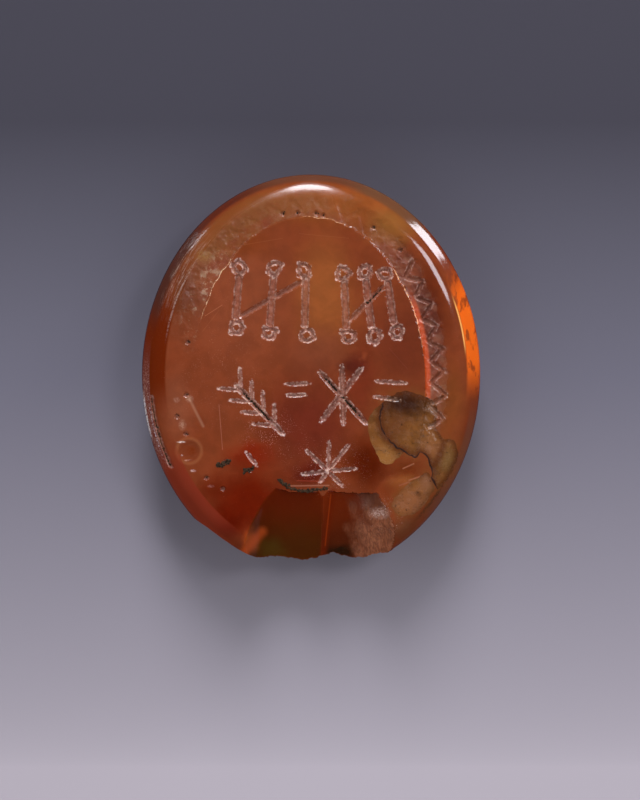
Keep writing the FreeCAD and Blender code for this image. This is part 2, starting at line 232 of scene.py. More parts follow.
@dataclass(frozen=True)
class OvalBlank:
    """The polished oval before it was engraved, with its section from the back to the face."""

    half_width: float = 7.2
    half_height: float = 8.5
    thickness: float = 3.6
    bevel_inset: float = 0.72
    bevel_drop: float = 0.62
    back_inset: float = 0.95
    face_edge_radius: float = 1.0
    girdle_radius: float = 0.35
    back_edge_radius: float = 0.7
    arc_steps: int = 9
    side_steps: int = 9
    ring_points: int = 600

    def rounded(self, before: Point, corner: Point, after: Point, radius: float) -> np.ndarray:
        """Points of the arc that rounds one corner of the section.

        Args:
            before: The section's point before the corner.
            corner: The corner.
            after: The section's point after the corner.
            radius: The arc's radius.

        Returns:
            The arc's points, from the side of the point before.
        """
        middle = np.array(corner)
        to_before = np.array(before) - middle
        to_after = np.array(after) - middle
        to_before /= np.linalg.norm(to_before)
        to_after /= np.linalg.norm(to_after)
        half = math.acos(float(to_before @ to_after)) / 2
        bisector = (to_before + to_after) / np.linalg.norm(to_before + to_after)
        centre = middle + bisector * radius / math.sin(half)
        start = middle + to_before * radius / math.tan(half) - centre
        end = middle + to_after * radius / math.tan(half) - centre
        turn = math.pi - 2 * half
        shares = np.linspace(0, 1, self.arc_steps + 1)[:, None]
        return centre + (start * np.sin((1 - shares) * turn) + end * np.sin(shares * turn)) / math.sin(turn)

    def section(self) -> Tuple[np.ndarray, np.ndarray]:
        """The section as insets and heights.

        Returns:
            The rows from the girdle up to the face, and the rows from the girdle down to the back.
        """
        back_middle = (self.half_width, 0.0)
        back_edge = (self.back_inset, 0.0)
        girdle = (0.0, self.thickness - self.bevel_drop)
        face_edge = (self.bevel_inset, self.thickness)
        face_middle = (self.half_width, self.thickness)
        back_arc = self.rounded(back_middle, back_edge, girdle, self.back_edge_radius)
        girdle_arc = self.rounded(back_edge, girdle, face_edge, self.girdle_radius)
        face_arc = self.rounded(girdle, face_edge, face_middle, self.face_edge_radius)
        side = np.linspace(back_arc[-1], girdle_arc[0], self.side_steps + 1)[1:-1]
        bevel = np.linspace(girdle_arc[-1], face_arc[0], 5)[1:-1]
        rows = np.vstack([back_arc, side, girdle_arc, bevel, face_arc])
        widest = int(np.argmin(rows[:, 0]))
        rows = rows - (rows[widest, 0], 0.0)
        return rows[widest:], rows[widest::-1]

    def outline(self, inset: float = 0.0) -> Oval:
        """The oval at that inset from the widest line."""
        return Oval(self.half_width - inset, self.half_height - inset)

    def inset(self, places: np.ndarray) -> np.ndarray:
        """How far inside the widest line each point of the plan lies.

        Args:
            places: The points in plan.

        Returns:
            One inset for each point, zero on the widest line.
        """
        low = np.zeros(len(places))
        high = np.full(len(places), self.half_width - 1e-6)
        for _ in range(34):
            middle = (low + high) / 2
            share = ((places[:, 0] / (self.half_width - middle)) ** 2
                     + (places[:, 1] / (self.half_height - middle)) ** 2)
            low = np.where(share < 1, middle, low)
            high = np.where(share < 1, high, middle)
        return low


@dataclass(frozen=True)
class FlakeScar:
    """One flake scar: part of a tilted round hollow."""

    start: Point
    radius: float
    tilt_deg: float
    turn_deg: float

    def depth_to(self, places: np.ndarray, face: float) -> np.ndarray:
        """The height of the hollow's floor over each point, or infinity where it doesn't reach.

        Args:
            places: The points in plan.
            face: The height of the stone's face.

        Returns:
            One height for each point.
        """
        tilt = math.radians(self.tilt_deg)
        turn = math.radians(self.turn_deg)
        heading = np.array([math.sin(turn), -math.cos(turn), 0.0])
        upright = np.array([0.0, 0.0, 1.0])
        down = heading * math.cos(tilt) - upright * math.sin(tilt)
        off = heading * math.sin(tilt) + upright * math.cos(tilt)
        centre = np.array([*self.start, face]) + off * self.radius
        start = np.column_stack([places, np.zeros(len(places))]) - centre
        along = start @ down
        a = 1 - down[2] ** 2
        b = 2 * (start[:, 2] - along * down[2])
        c = np.sum(start ** 2, axis=1) - along ** 2 - self.radius ** 2
        inner = b ** 2 - 4 * a * c
        floor = (-b - np.sqrt(np.maximum(inner, 0))) / (2 * a)
        return np.where((inner > 0) & (along + floor * down[2] > 0), floor, np.inf)


@dataclass(frozen=True)
class BrokenFoot:
    """The ragged break across the foot, and the flake scars above it."""

    break_line: Tuple[Point, ...] = (
        (-5.26, -5.95), (-4.39, -6.53), (-3.82, -6.96), (-3.17, -7.40), (-2.59, -7.72), (-2.30, -7.84),
        (-1.30, -7.79), (-0.72, -7.92), (-0.14, -7.95), (0.36, -7.78), (0.94, -7.65), (1.37, -7.74),
        (1.80, -7.84), (2.30, -7.83), (2.74, -7.67), (3.24, -7.64), (4.03, -7.14),
    )
    rough_from: float = -2.6
    ledge: Tuple[Point, ...] = (
        (-3.60, -4.63), (-1.44, -4.85), (-0.97, -5.00), (0.58, -4.98), (1.87, -5.04), (4.32, -5.10),
    )
    scars: Tuple[FlakeScar, ...] = (
        FlakeScar((-0.51, -4.40), 2.2, 24.0, -7.0),
        FlakeScar((1.65, -4.40), 2.4, 22.5, 2.0),
    )
    spacing: float = 0.055
    raggedness: float = 0.035
    sugary_from: float = 1.55

    def line(self, outline: Oval) -> np.ndarray:
        """The break's line between the two places where it meets the outline.

        Args:
            outline: The stone's outline.

        Returns:
            The line's points from left to right, its ends on the outline.
        """
        given = np.array(self.break_line)
        line = []
        for start, end in zip(given, given[1:]):
            steps = max(1, int(round(np.linalg.norm(end - start) / self.spacing)))
            line += [start + (end - start) * k / steps for k in range(steps)]
        line = np.array(line + [given[-1]])
        ragged = ripple(line, 0.42, 11) * 0.6 + ripple(line, 0.16, 12) * 0.4
        rough = np.clip((line[:, 0] - self.rough_from) / 0.6, 0.08, 1)
        line[:, 1] += self.raggedness * rough * (ragged + 0.6)
        held = outline.reach(line) < 0
        first, last = int(np.argmax(held)), len(held) - 1 - int(np.argmax(held[::-1]))
        ends = []
        for k, j in ((first, first - 1), (last, last + 1)):
            near, far = line[k], line[j]
            for _ in range(40):
                middle = (near + far) / 2
                if outline.reach(middle[None])[0] < 0:
                    near = middle
                else:
                    far = middle
            ends.append(near)
        return np.vstack([ends[0], line[first:last + 1], ends[1]])

    def floor(self, places: np.ndarray, face: float) -> Tuple[np.ndarray, np.ndarray]:
        """The heights that the scars leave.

        Args:
            places: The points in plan.
            face: The height of the stone's face.

        Returns:
            The height of the lowest scar over each point, and the scar's number, 0 for none.
        """
        ledge = np.array(self.ledge)
        edge = np.interp(places[:, 0], ledge[:, 0], ledge[:, 1])
        below = places[:, 1] < edge + 0.02 * ripple(places, 0.5, 21)
        heights = np.full(len(places), np.inf)
        which = np.zeros(len(places))
        for number, scar in enumerate(self.scars, 1):
            floor = scar.depth_to(places, face)
            offset = places - scar.start
            rings = np.hypot(offset[:, 0], offset[:, 1])
            floor = floor + 0.004 * np.sin(rings * FULL_TURN / 0.55) + 0.010 * ripple(places, 1.6, 22)
            lower = below & (floor < heights)
            heights = np.where(lower, floor, heights)
            which = np.where(lower, number, which)
        sugary = self.sugary(places) * (which > 0)
        coarse = ripple(places, 0.80, 23) * 0.030 + ripple(places, 0.30, 24) * 0.008
        return heights + sugary * coarse, which

    def sugary(self, places: np.ndarray) -> np.ndarray:
        """How rough and granular the break is at each point, from 0 to 1."""
        wandering = places[:, 0] + 0.25 * ripple(places, 0.9, 26)
        return np.clip((wandering - self.sugary_from) / 0.9, 0, 1)


@dataclass(frozen=True)
class Border:
    """The sunk channel round the face and the zigzag in its floor."""

    middle: Oval = Oval(5.5, 7.6, -0.1, -0.4)
    worn_range_deg: Point = (42.0, 345.0)
    lost_range_deg: Point = (168.0, 341.0)
    fade_stops: Tuple[Point, ...] = (
        (-44.0, 1.0), (-22.0, 0.9), (-10.0, 0.3), (-2.0, 0.0), (45.0, 0.0), (62.0, 0.60), (78.0, 0.88),
        (108.0, 0.88), (126.0, 0.40), (146.0, 0.35), (158.0, 0.80), (170.0, 1.0), (300.0, 1.0),
    )
    zigzag_reach: float = 0.30
    zigzag_count: int = 43
    start_deg: float = -44.0
    end_deg: float = 224.0
    seed: int = 31

    def line_at(self, reach: float) -> np.ndarray:
        """The line that runs round the border at that reach outside its middle."""
        turns = np.radians(np.linspace(self.start_deg - 2, self.end_deg + 2, 260))
        oval = Oval(self.middle.half_width + reach, self.middle.half_height + reach,
                    self.middle.shift_x, self.middle.shift_y)
        return oval.points(turns)

    def faded(self, places: np.ndarray) -> np.ndarray:
        """How much of the channel is worn away at each point, from 0 to 1."""
        turn = (np.degrees(self.middle.turn(places)) + 60.0) % 360.0 - 60.0
        stops = np.array(self.fade_stops)
        return np.interp(turn, stops[:, 0], stops[:, 1])

    def lies_in(self, run: np.ndarray, turns: Point) -> bool:
        """Whether a stroke of the zigzag lies between those turns, in degrees."""
        turn = math.degrees(float(self.middle.turn(run.mean(axis=0)[None])[0])) % 360.0
        return turns[0] < turn < turns[1]

    def zigzag_runs(self) -> List[np.ndarray]:
        """The zigzag's strokes, each a short straight cut that overshoots its corners a little."""
        fine = np.linspace(0, FULL_TURN, 4001)
        points = self.middle.points(fine)
        travelled = np.concatenate([[0], np.cumsum(np.linalg.norm(np.diff(points, axis=0), axis=1))])
        steps = np.linspace(0, travelled[-1], 2 * self.zigzag_count + 1)[:-1]
        turns = np.interp(steps, travelled, fine)
        draw = np.random.default_rng(self.seed)
        corners = []
        for k, turn in enumerate(turns):
            past = (math.degrees(turn) - self.start_deg) % 360.0
            if past < self.end_deg - self.start_deg:
                outward = np.array([math.cos(turn) / self.middle.half_width,
                                    math.sin(turn) / self.middle.half_height])
                outward /= np.linalg.norm(outward)
                reach = self.zigzag_reach if k % 2 else -self.zigzag_reach
                place = self.middle.points(np.array([turn]))[0]
                corners.append((past, place + outward * (reach + draw.uniform(-0.05, 0.05))))
        corners.sort(key=lambda entry: entry[0])
        places = [place for _, place in corners]
        runs = []
        for start, end in zip(places, places[1:]):
            over = (end - start) / np.linalg.norm(end - start) * draw.uniform(0.0, 0.08)
            side = np.array([-over[1], over[0]]) * draw.uniform(-1, 1)
            runs.append(np.array([start - over + side, end + over + side]))
        return runs


@dataclass(frozen=True)
class TallySign:
    """Three upright bars with ring ends, tied by one rising slash. All places are in millimetres."""

    tops: Tuple[Point, ...]
    feet: Tuple[Point, ...]
    rings: Tuple[Point, ...]
    slash: Tuple[Point, Point]


@dataclass(frozen=True)
class SignField:
    """The generic signs in the middle of the face."""

    tallies: Tuple[TallySign, ...] = (
        TallySign(
            tops=((-3.05, 4.12), (-1.59, 4.14), (-0.22, 4.04)),
            feet=((-3.20, 2.41), (-1.74, 2.16), (-0.27, 2.07)),
            rings=((-3.03, 4.51), (-1.53, 4.49), (-0.30, 4.42), (-3.17, 1.99), (-1.78, 1.72), (-0.17, 1.62)),
            slash=((-3.02, 2.42), (-0.36, 3.93)),
        ),
        TallySign(
            tops=((1.41, 3.89), (2.33, 3.94), (3.25, 3.87)),
            feet=((1.49, 2.02), (2.55, 2.04), (3.50, 2.23)),
            rings=((1.34, 4.25), (2.28, 4.34), (3.12, 4.22), (1.56, 1.60), (2.68, 1.62), (3.64, 1.80)),
            slash=((1.62, 2.23), (3.10, 3.74)),
        ),
    )
    ring_radius: float = 0.28
    ring_cuts: int = 6
    branch_stem: Tuple[Point, Point] = ((-3.18, -0.47), (-1.17, -2.56))
    twig_steps: Tuple[float, ...] = (0.10, 0.34, 0.58, 0.82)
    twig_length: float = 0.95
    twig_lean_deg: float = 42.0
    crossed: Tuple[Tuple[Point, Point], ...] = (
        ((0.37, 0.09), (2.38, -2.13)), ((2.16, 0.26), (0.43, -2.00)), ((1.30, 0.34), (1.37, -2.13)),
    )
    pairs: Tuple[Tuple[Point, Point], ...] = (
        ((-1.12, -0.43), (-0.04, -0.40)), ((-1.07, -0.91), (-0.19, -0.88)),
        ((2.72, -0.30), (4.05, -0.39)), ((2.68, -0.96), (3.79, -1.11)),
    )
    star_centre: Point = (0.72, -4.11)
    star_tips: Tuple[Point, ...] = (
        (-0.21, -3.22), (0.76, -2.81), (1.60, -2.98), (1.93, -4.00), (1.35, -4.76), (0.36, -4.63),
        (-0.40, -4.25),
    )
    strays: Tuple[Tuple[Point, Point], ...] = (
        ((-2.75, -3.31), (-2.29, -3.88)),
        ((-5.15, -1.06), (-4.57, -2.21)),
    )
    seed: int = 41

    def bars(self) -> List[np.ndarray]:
        """The uprights of both tally signs."""
        return [np.array([top, foot]) for sign in self.tallies for top, foot in zip(sign.tops, sign.feet)]

    def rings(self) -> List[np.ndarray]:
        """Short straight gouges round every ring end, which overshoot their corners a little."""
        draw = np.random.default_rng(self.seed)
        runs = []
        for sign in self.tallies:
            for centre in sign.rings:
                turns = draw.uniform(0, FULL_TURN) + FULL_TURN * np.arange(self.ring_cuts) / self.ring_cuts
                radii = self.ring_radius * draw.uniform(0.72, 1.16, self.ring_cuts)[:, None]
                corners = np.array(centre) + radii * np.column_stack([np.cos(turns), np.sin(turns)])
                for start, end in zip(corners, np.roll(corners, -1, axis=0)):
                    over = (end - start) * draw.uniform(0.0, 0.42)
                    runs.append(np.array([start - over, end + over]))
        return runs

    def slashes(self) -> List[np.ndarray]:
        """The wide diagonal cuts: both slashes, the branch's stem and the crossed strokes."""
        lines = [sign.slash for sign in self.tallies] + [self.branch_stem] + list(self.crossed)
        return [np.array(line) for line in lines]

    def fine(self) -> List[np.ndarray]:
        """The fine strokes: twigs, pairs, the small star and the strays."""
        start, end = np.array(self.branch_stem)
        heading = math.atan2(*(end - start)[::-1])
        lines = [np.array(line) for line in self.pairs + self.strays[:1]]
        for step in self.twig_steps:
            root = start + (end - start) * step
            for side in (-1, 1):
                angle = heading + math.pi + side * math.radians(self.twig_lean_deg)
                toward = np.array([math.cos(angle), math.sin(angle)])
                lines.append(np.array([root, root + self.twig_length * toward]))
        lines += [np.array([self.star_centre, tip]) for tip in self.star_tips]
        return lines


@dataclass(frozen=True)
class PaleMinerals:
    """The outlines of the pale bodies and of the dark seam between them."""

    seam: Tuple[Point, ...] = (
        (3.05, -1.19), (2.92, -1.95), (3.09, -2.46), (3.43, -2.92), (3.98, -3.28), (4.36, -3.54),
        (4.62, -3.31), (4.91, -3.48), (5.08, -3.98), (5.17, -4.49), (5.38, -4.89),
    )
    seam_width: float = 0.06
    main_top: Tuple[Point, ...] = (
        (3.05, -1.19), (3.43, -0.89), (3.98, -0.72), (4.53, -0.85), (5.08, -1.06), (5.38, -1.52),
        (5.26, -2.16), (5.51, -2.63), (5.65, -2.76),
    )
    shared: Tuple[Point, ...] = ((5.65, -2.76), (5.46, -3.48), (5.08, -3.98))
    right_side: Tuple[Point, ...] = (
        (5.65, -2.76), (6.05, -2.80), (6.23, -3.31), (6.10, -3.89), (5.80, -4.40), (5.38, -4.89),
    )
    left_side: Tuple[Point, ...] = (
        (3.05, -1.19), (2.58, -1.61), (2.41, -2.16), (2.54, -2.84), (2.79, -3.43), (3.09, -3.81),
        (3.51, -3.72), (3.98, -3.28),
    )
    lower: Tuple[Point, ...] = (
        (3.43, -5.42), (3.77, -5.00), (4.11, -4.66), (4.53, -4.40), (4.95, -4.17), (5.21, -4.74),
        (4.95, -5.34), (4.53, -5.81), (3.94, -6.02), (3.51, -5.81),
    )
    spacing: float = 0.05
    depth: float = 1.1

    def chain(self, points: Sequence[Point], closed: bool = False) -> np.ndarray:
        """One of the outlines as a smooth, slightly uneven line."""
        line = smooth_chain(points, self.spacing, closed)
        sway = np.column_stack([ripple(line, 0.5, 51), ripple(line, 0.5, 52)]) * 0.025
        if not closed:
            ends = np.minimum(np.arange(len(line)), np.arange(len(line))[::-1]) / 6
            sway *= np.clip(ends, 0, 1)[:, None]
        return line + sway

    def seam_line(self) -> np.ndarray:
        """The middle line of the seam."""
        return self.chain(self.seam)

    def seam_sides(self) -> Tuple[np.ndarray, np.ndarray]:
        """Both side lines of the seam, which narrow at its ends."""
        line = self.seam_line()
        along = np.gradient(line, axis=0)
        along /= np.linalg.norm(along, axis=1)[:, None]
        across = np.column_stack([-along[:, 1], along[:, 0]])
        taper = np.minimum(np.arange(len(line)), np.arange(len(line))[::-1]) / 8
        half = self.seam_width / 2 * np.clip(taper + 0.35, 0, 1) * (1 + 0.4 * ripple(line, 0.6, 53))
        return line + across * half[:, None], line - across * half[:, None]

    def outlines(self) -> Dict[Region, np.ndarray]:
        """The closed outline of each region, to be tested in this order."""
        seam = self.seam_line()
        marks = [int(np.argmin(np.linalg.norm(seam - np.array(self.seam[k]), axis=1))) for k in (4, 8)]
        shared = self.chain(self.shared)
        left, right = self.seam_sides()
        return {
            Region.SEAM: np.vstack([left, right[::-1]]),
            Region.MAIN_BODY: np.vstack([self.chain(self.main_top)[:-1], shared[:-1],
                                         seam[:marks[1] + 1][::-1]]),
            Region.RIGHT_LOBE: np.vstack([self.chain(self.right_side)[:-1], seam[marks[1]:][::-1],
                                          shared[::-1][1:-1]]),
            Region.LEFT_LOBE: np.vstack([self.chain(self.left_side)[:-1], seam[:marks[0] + 1][::-1]]),
            Region.LOWER_PATCH: self.chain(self.lower, True),
        }

    def lines(self) -> List[Tuple[np.ndarray, bool]]:
        """The lines that the plan's triangles must keep, each with whether it is closed."""
        left, right = self.seam_sides()
        sides = (self.main_top, self.shared, self.right_side, self.left_side)
        open_lines = [self.chain(points) for points in sides]
        return ([(line, False) for line in open_lines]
                + [(np.vstack([left, right[::-1]]), True), (self.chain(self.lower, True), True)])


@dataclass(frozen=True)
class Wear:
    """Pits, clods and the crack along the left bevel."""

    pits: Tuple[Point, ...] = (
        (-1.19, 6.80), (-0.55, 6.84), (0.21, 6.82), (0.51, 6.73), (2.63, 6.21), (3.77, 5.27), (-5.21, 1.36),
        (-5.29, -0.89), (-5.69, -1.78), (-5.29, -2.54), (-4.41, -4.40), (-3.73, -4.87),
    )
    clods: Tuple[Point, ...] = ((-3.60, -3.72), (-2.54, -4.06))
    clod_lines: Tuple[Tuple[Point, ...], ...] = (
        ((-3.90, -3.86), (-3.62, -3.76), (-3.46, -3.64)), ((-2.80, -4.12), (-2.45, -4.02)),
    )
    ledge_dirt: Tuple[Point, ...] = (
        (-1.42, -4.42), (-1.20, -4.60), (-0.97, -4.80), (-0.60, -4.94), (-0.10, -4.96), (0.35, -4.88),
        (0.75, -4.84),
    )
    hollow: Point = (-5.17, -3.26)
    crack_inset: float = 0.40
    crack_start_deg: float = 187.0
    crack_end_deg: float = 209.0

    def crack_line(self, blank: OvalBlank) -> np.ndarray:
        """The crack's middle line in plan."""
        turns = np.radians(np.linspace(self.crack_start_deg, self.crack_end_deg, 60))
        return blank.outline(self.crack_inset).points(turns)

    def pit_runs(self) -> List[np.ndarray]:
        """A tiny run at every pit and clod, for the tool that opens them."""
        return [self.dot(place) for place in self.pits + self.clods]

    def dot(self, place: Point, half: float = 0.01) -> np.ndarray:
        """A run so short that its cut is round."""
        return np.array([(place[0] - half, place[1]), (place[0] + half, place[1])])


@dataclass(frozen=True)
class Graver:
    """One tool: what it cuts, how evenly, and how far its strokes run out at their ends."""

    name: str
    width: float
    floor: float
    depth: float
    mark: Mark = Mark.CUT
    wobble: float = 0.03
    chipping: float = 0.35
    frosting: float = 1.0
    grain: float = 0.35
    taper: float = 0.0
    taper_run: float = 0.2
    seed: float = 1.0


BAR_GRAVER = Graver("bars", 0.33, 0.20, 0.17, wobble=0.03, chipping=0.3, frosting=0.60, grain=0.16, seed=1.0)
SLASH_GRAVER = Graver("slashes", 0.26, 0.07, 0.13, wobble=0.02, chipping=0.2, frosting=0.34, grain=0.40,
                      taper=0.10, taper_run=0.35, seed=2.0)
SIGN_GRAVER = Graver("wide strokes", 0.27, 0.08, 0.18, frosting=0.9, grain=0.35,
                     taper=0.11, taper_run=0.4, seed=2.5)
FINE_GRAVER = Graver("fine strokes", 0.17, 0.05, 0.10, frosting=0.85, grain=0.4,
                     taper=0.08, taper_run=0.3, seed=3.0)
RING_GRAVER = Graver("rings", 0.20, 0.05, 0.13, wobble=0.04, chipping=0.4, frosting=0.85, grain=0.40,
                     taper=0.08, taper_run=0.12, seed=4.0)
ZIGZAG_GRAVER = Graver("zigzag", 0.25, 0.05, 0.12, wobble=0.08, chipping=0.6, frosting=0.40, grain=0.1,
                       taper=0.09, taper_run=0.2, seed=5.0)
WORN_GRAVER = Graver("worn zigzag", 0.34, 0.04, 0.010, wobble=0.10, chipping=0.2, frosting=0.0, grain=0.0,
                     taper=0.09, taper_run=0.2, seed=5.5)
CHANNEL_GRAVER = Graver("channel", 0.54, 0.38, 0.12, Mark.CHANNEL, 0.14, 0.35, 0.0, 0.0, seed=6.0)
BLEND_GRAVER = Graver("channel blend", 1.24, 0.10, 0.12, Mark.CHANNEL, 0.28, 0.35, 0.0, 0.0, seed=6.3)
PIT_GRAVER = Graver("pits", 0.22, 0.08, 0.09, wobble=0.08, chipping=0.3, frosting=0.15, seed=7.0)
HOLLOW_GRAVER = Graver("round hollow", 1.05, 0.50, 0.05, wobble=0.04, chipping=0.05,
                       frosting=0.0, grain=0.0, seed=7.5)
CRACK_GRAVER = Graver("rim crack", 0.16, 0.06, 0.09, wobble=0.05, chipping=0.3, frosting=0.4, seed=8.0)


class Wiring:
    """Adds nodes to a tree and joins them, for shader and geometry trees alike."""

    def __init__(self, tree: bpy.types.NodeTree) -> None:
        """Starts on a tree.

        Args:
            tree: The tree that gets the nodes.
        """
        self.tree = tree

    def add(self, kind: str, feeds: Optional[Dict[str, Value]] = None, **settings: object) -> bpy.types.Node:
        """A new node with those settings and those inputs."""
        node = self.tree.nodes.new(kind)
        for name, value in settings.items():
            setattr(node, name, value)
        for name, value in (feeds or {}).items():
            self.feed(node.inputs[name], value)
        return node

    def feed(self, socket: bpy.types.NodeSocket, value: Value) -> None:
        """Joins a socket to another, or sets its value, where a colour may also be a code."""
        if isinstance(value, bpy.types.NodeSocket):
            self.tree.links.new(value, socket)
        elif socket.type == "RGBA":
            socket.default_value = (*(tone(value) if isinstance(value, str) else value), 1.0)
        else:
            socket.default_value = value

    def math(self, operation: str, *values: Value, clamp: bool = False) -> bpy.types.NodeSocket:
        """The result of one sum on numbers."""
        node = self.add("ShaderNodeMath", operation=operation, use_clamp=clamp)
        for socket, value in zip(node.inputs, values):
            self.feed(socket, value)
        return node.outputs[0]

    def vector(self, operation: str, *values: Value) -> bpy.types.NodeSocket:
        """The result of one sum on vectors, or its number for a length or a product."""
        node = self.add("ShaderNodeVectorMath", operation=operation)
        for k, value in enumerate(values):
            self.feed(node.inputs["Scale"] if operation == "SCALE" and k == 1 else node.inputs[k], value)
        return node.outputs["Value" if operation in ("LENGTH", "DISTANCE", "DOT_PRODUCT") else "Vector"]

    def both(self, *values: Value) -> Value:
        """The product of several values."""
        return functools.reduce(lambda product, value: self.math("MULTIPLY", product, value), values)

    def plus(self, *values: Value) -> Value:
        """The sum of several values."""
        return functools.reduce(lambda total, value: self.math("ADD", total, value), values)

    def noise(self, where: Value, size: float, detail: float, roughness: float,
              output: int = 0) -> bpy.types.NodeSocket:
        """Noise whose lumps have about that size in millimetres."""
        feeds = {"Vector": where, "Scale": 1 / (size * MM), "Detail": detail, "Roughness": roughness}
        return self.add("ShaderNodeTexNoise", feeds, noise_dimensions="3D").outputs[output]

    def sway(self, where: Value, size: float, detail: float, roughness: float) -> bpy.types.NodeSocket:
        """An uneven vector round zero, up to half a unit each way."""
        return self.vector("SUBTRACT", self.noise(where, size, detail, roughness, 1), (0.5, 0.5, 0.5))

    def spots(self, where: Value, size: float, detail: float, roughness: float, *reach: float,
              ) -> bpy.types.NodeSocket:
        """Noise that rises between two levels, as a mask of soft-edged lumps."""
        return self.rise(self.noise(where, size, detail, roughness), *reach)

    def rise(self, value: Value, low: float, high: float, to_low: float = 0.0, to_high: float = 1.0,
             smooth: bool = True) -> bpy.types.NodeSocket:
        """A value that goes from one number to another while its input goes from low to high."""
        node = self.add("ShaderNodeMapRange", interpolation_type="SMOOTHSTEP" if smooth else "LINEAR")
        for k, entry in enumerate((value, low, high, to_low, to_high)):
            self.feed(node.inputs[k], entry)
        return node.outputs[0]

    def mix(self, share: Value, first: Value, second: Value, blend: str = "MIX") -> bpy.types.NodeSocket:
        """One colour between two."""
        node = self.add("ShaderNodeMix", data_type="RGBA", blend_type=blend)
        for name, value in (("Factor_Float", share), ("A_Color", first), ("B_Color", second)):
            socket = next(entry for entry in node.inputs if entry.identifier == name)
            self.feed(socket, value)
        return next(entry for entry in node.outputs if entry.identifier == "Result_Color")

    def attribute(self, name: str) -> bpy.types.NodeSocket:
        """A number that the mesh carries, for a material."""
        return self.add("ShaderNodeAttribute", attribute_name=name).outputs["Fac"]

    def stored(self, name: Value) -> bpy.types.NodeSocket:
        """A number that the points carry, for a geometry tree."""
        node = self.add("GeometryNodeInputNamedAttribute", {"Name": name}, data_type="FLOAT")
        return node.outputs["Attribute"]

    def store(self, geometry: Value, name: Value, value: Value) -> bpy.types.NodeSocket:
        """The geometry with a number written on its points."""
        feeds = {"Geometry": geometry, "Name": name, "Value": value}
        node = self.add("GeometryNodeStoreNamedAttribute", feeds, data_type="FLOAT", domain="POINT")
        return node.outputs[0]

    def end_tree(self, geometry: Value, finish: Value) -> None:
        """Ends a geometry tree: instances become real and get their material."""
        real = self.add("GeometryNodeRealizeInstances", {"Geometry": geometry}).outputs[0]
        dressed = self.add("GeometryNodeSetMaterial", {"Geometry": real, "Material": finish}).outputs[0]
        self.feed(self.add("NodeGroupOutput").inputs[0], dressed)


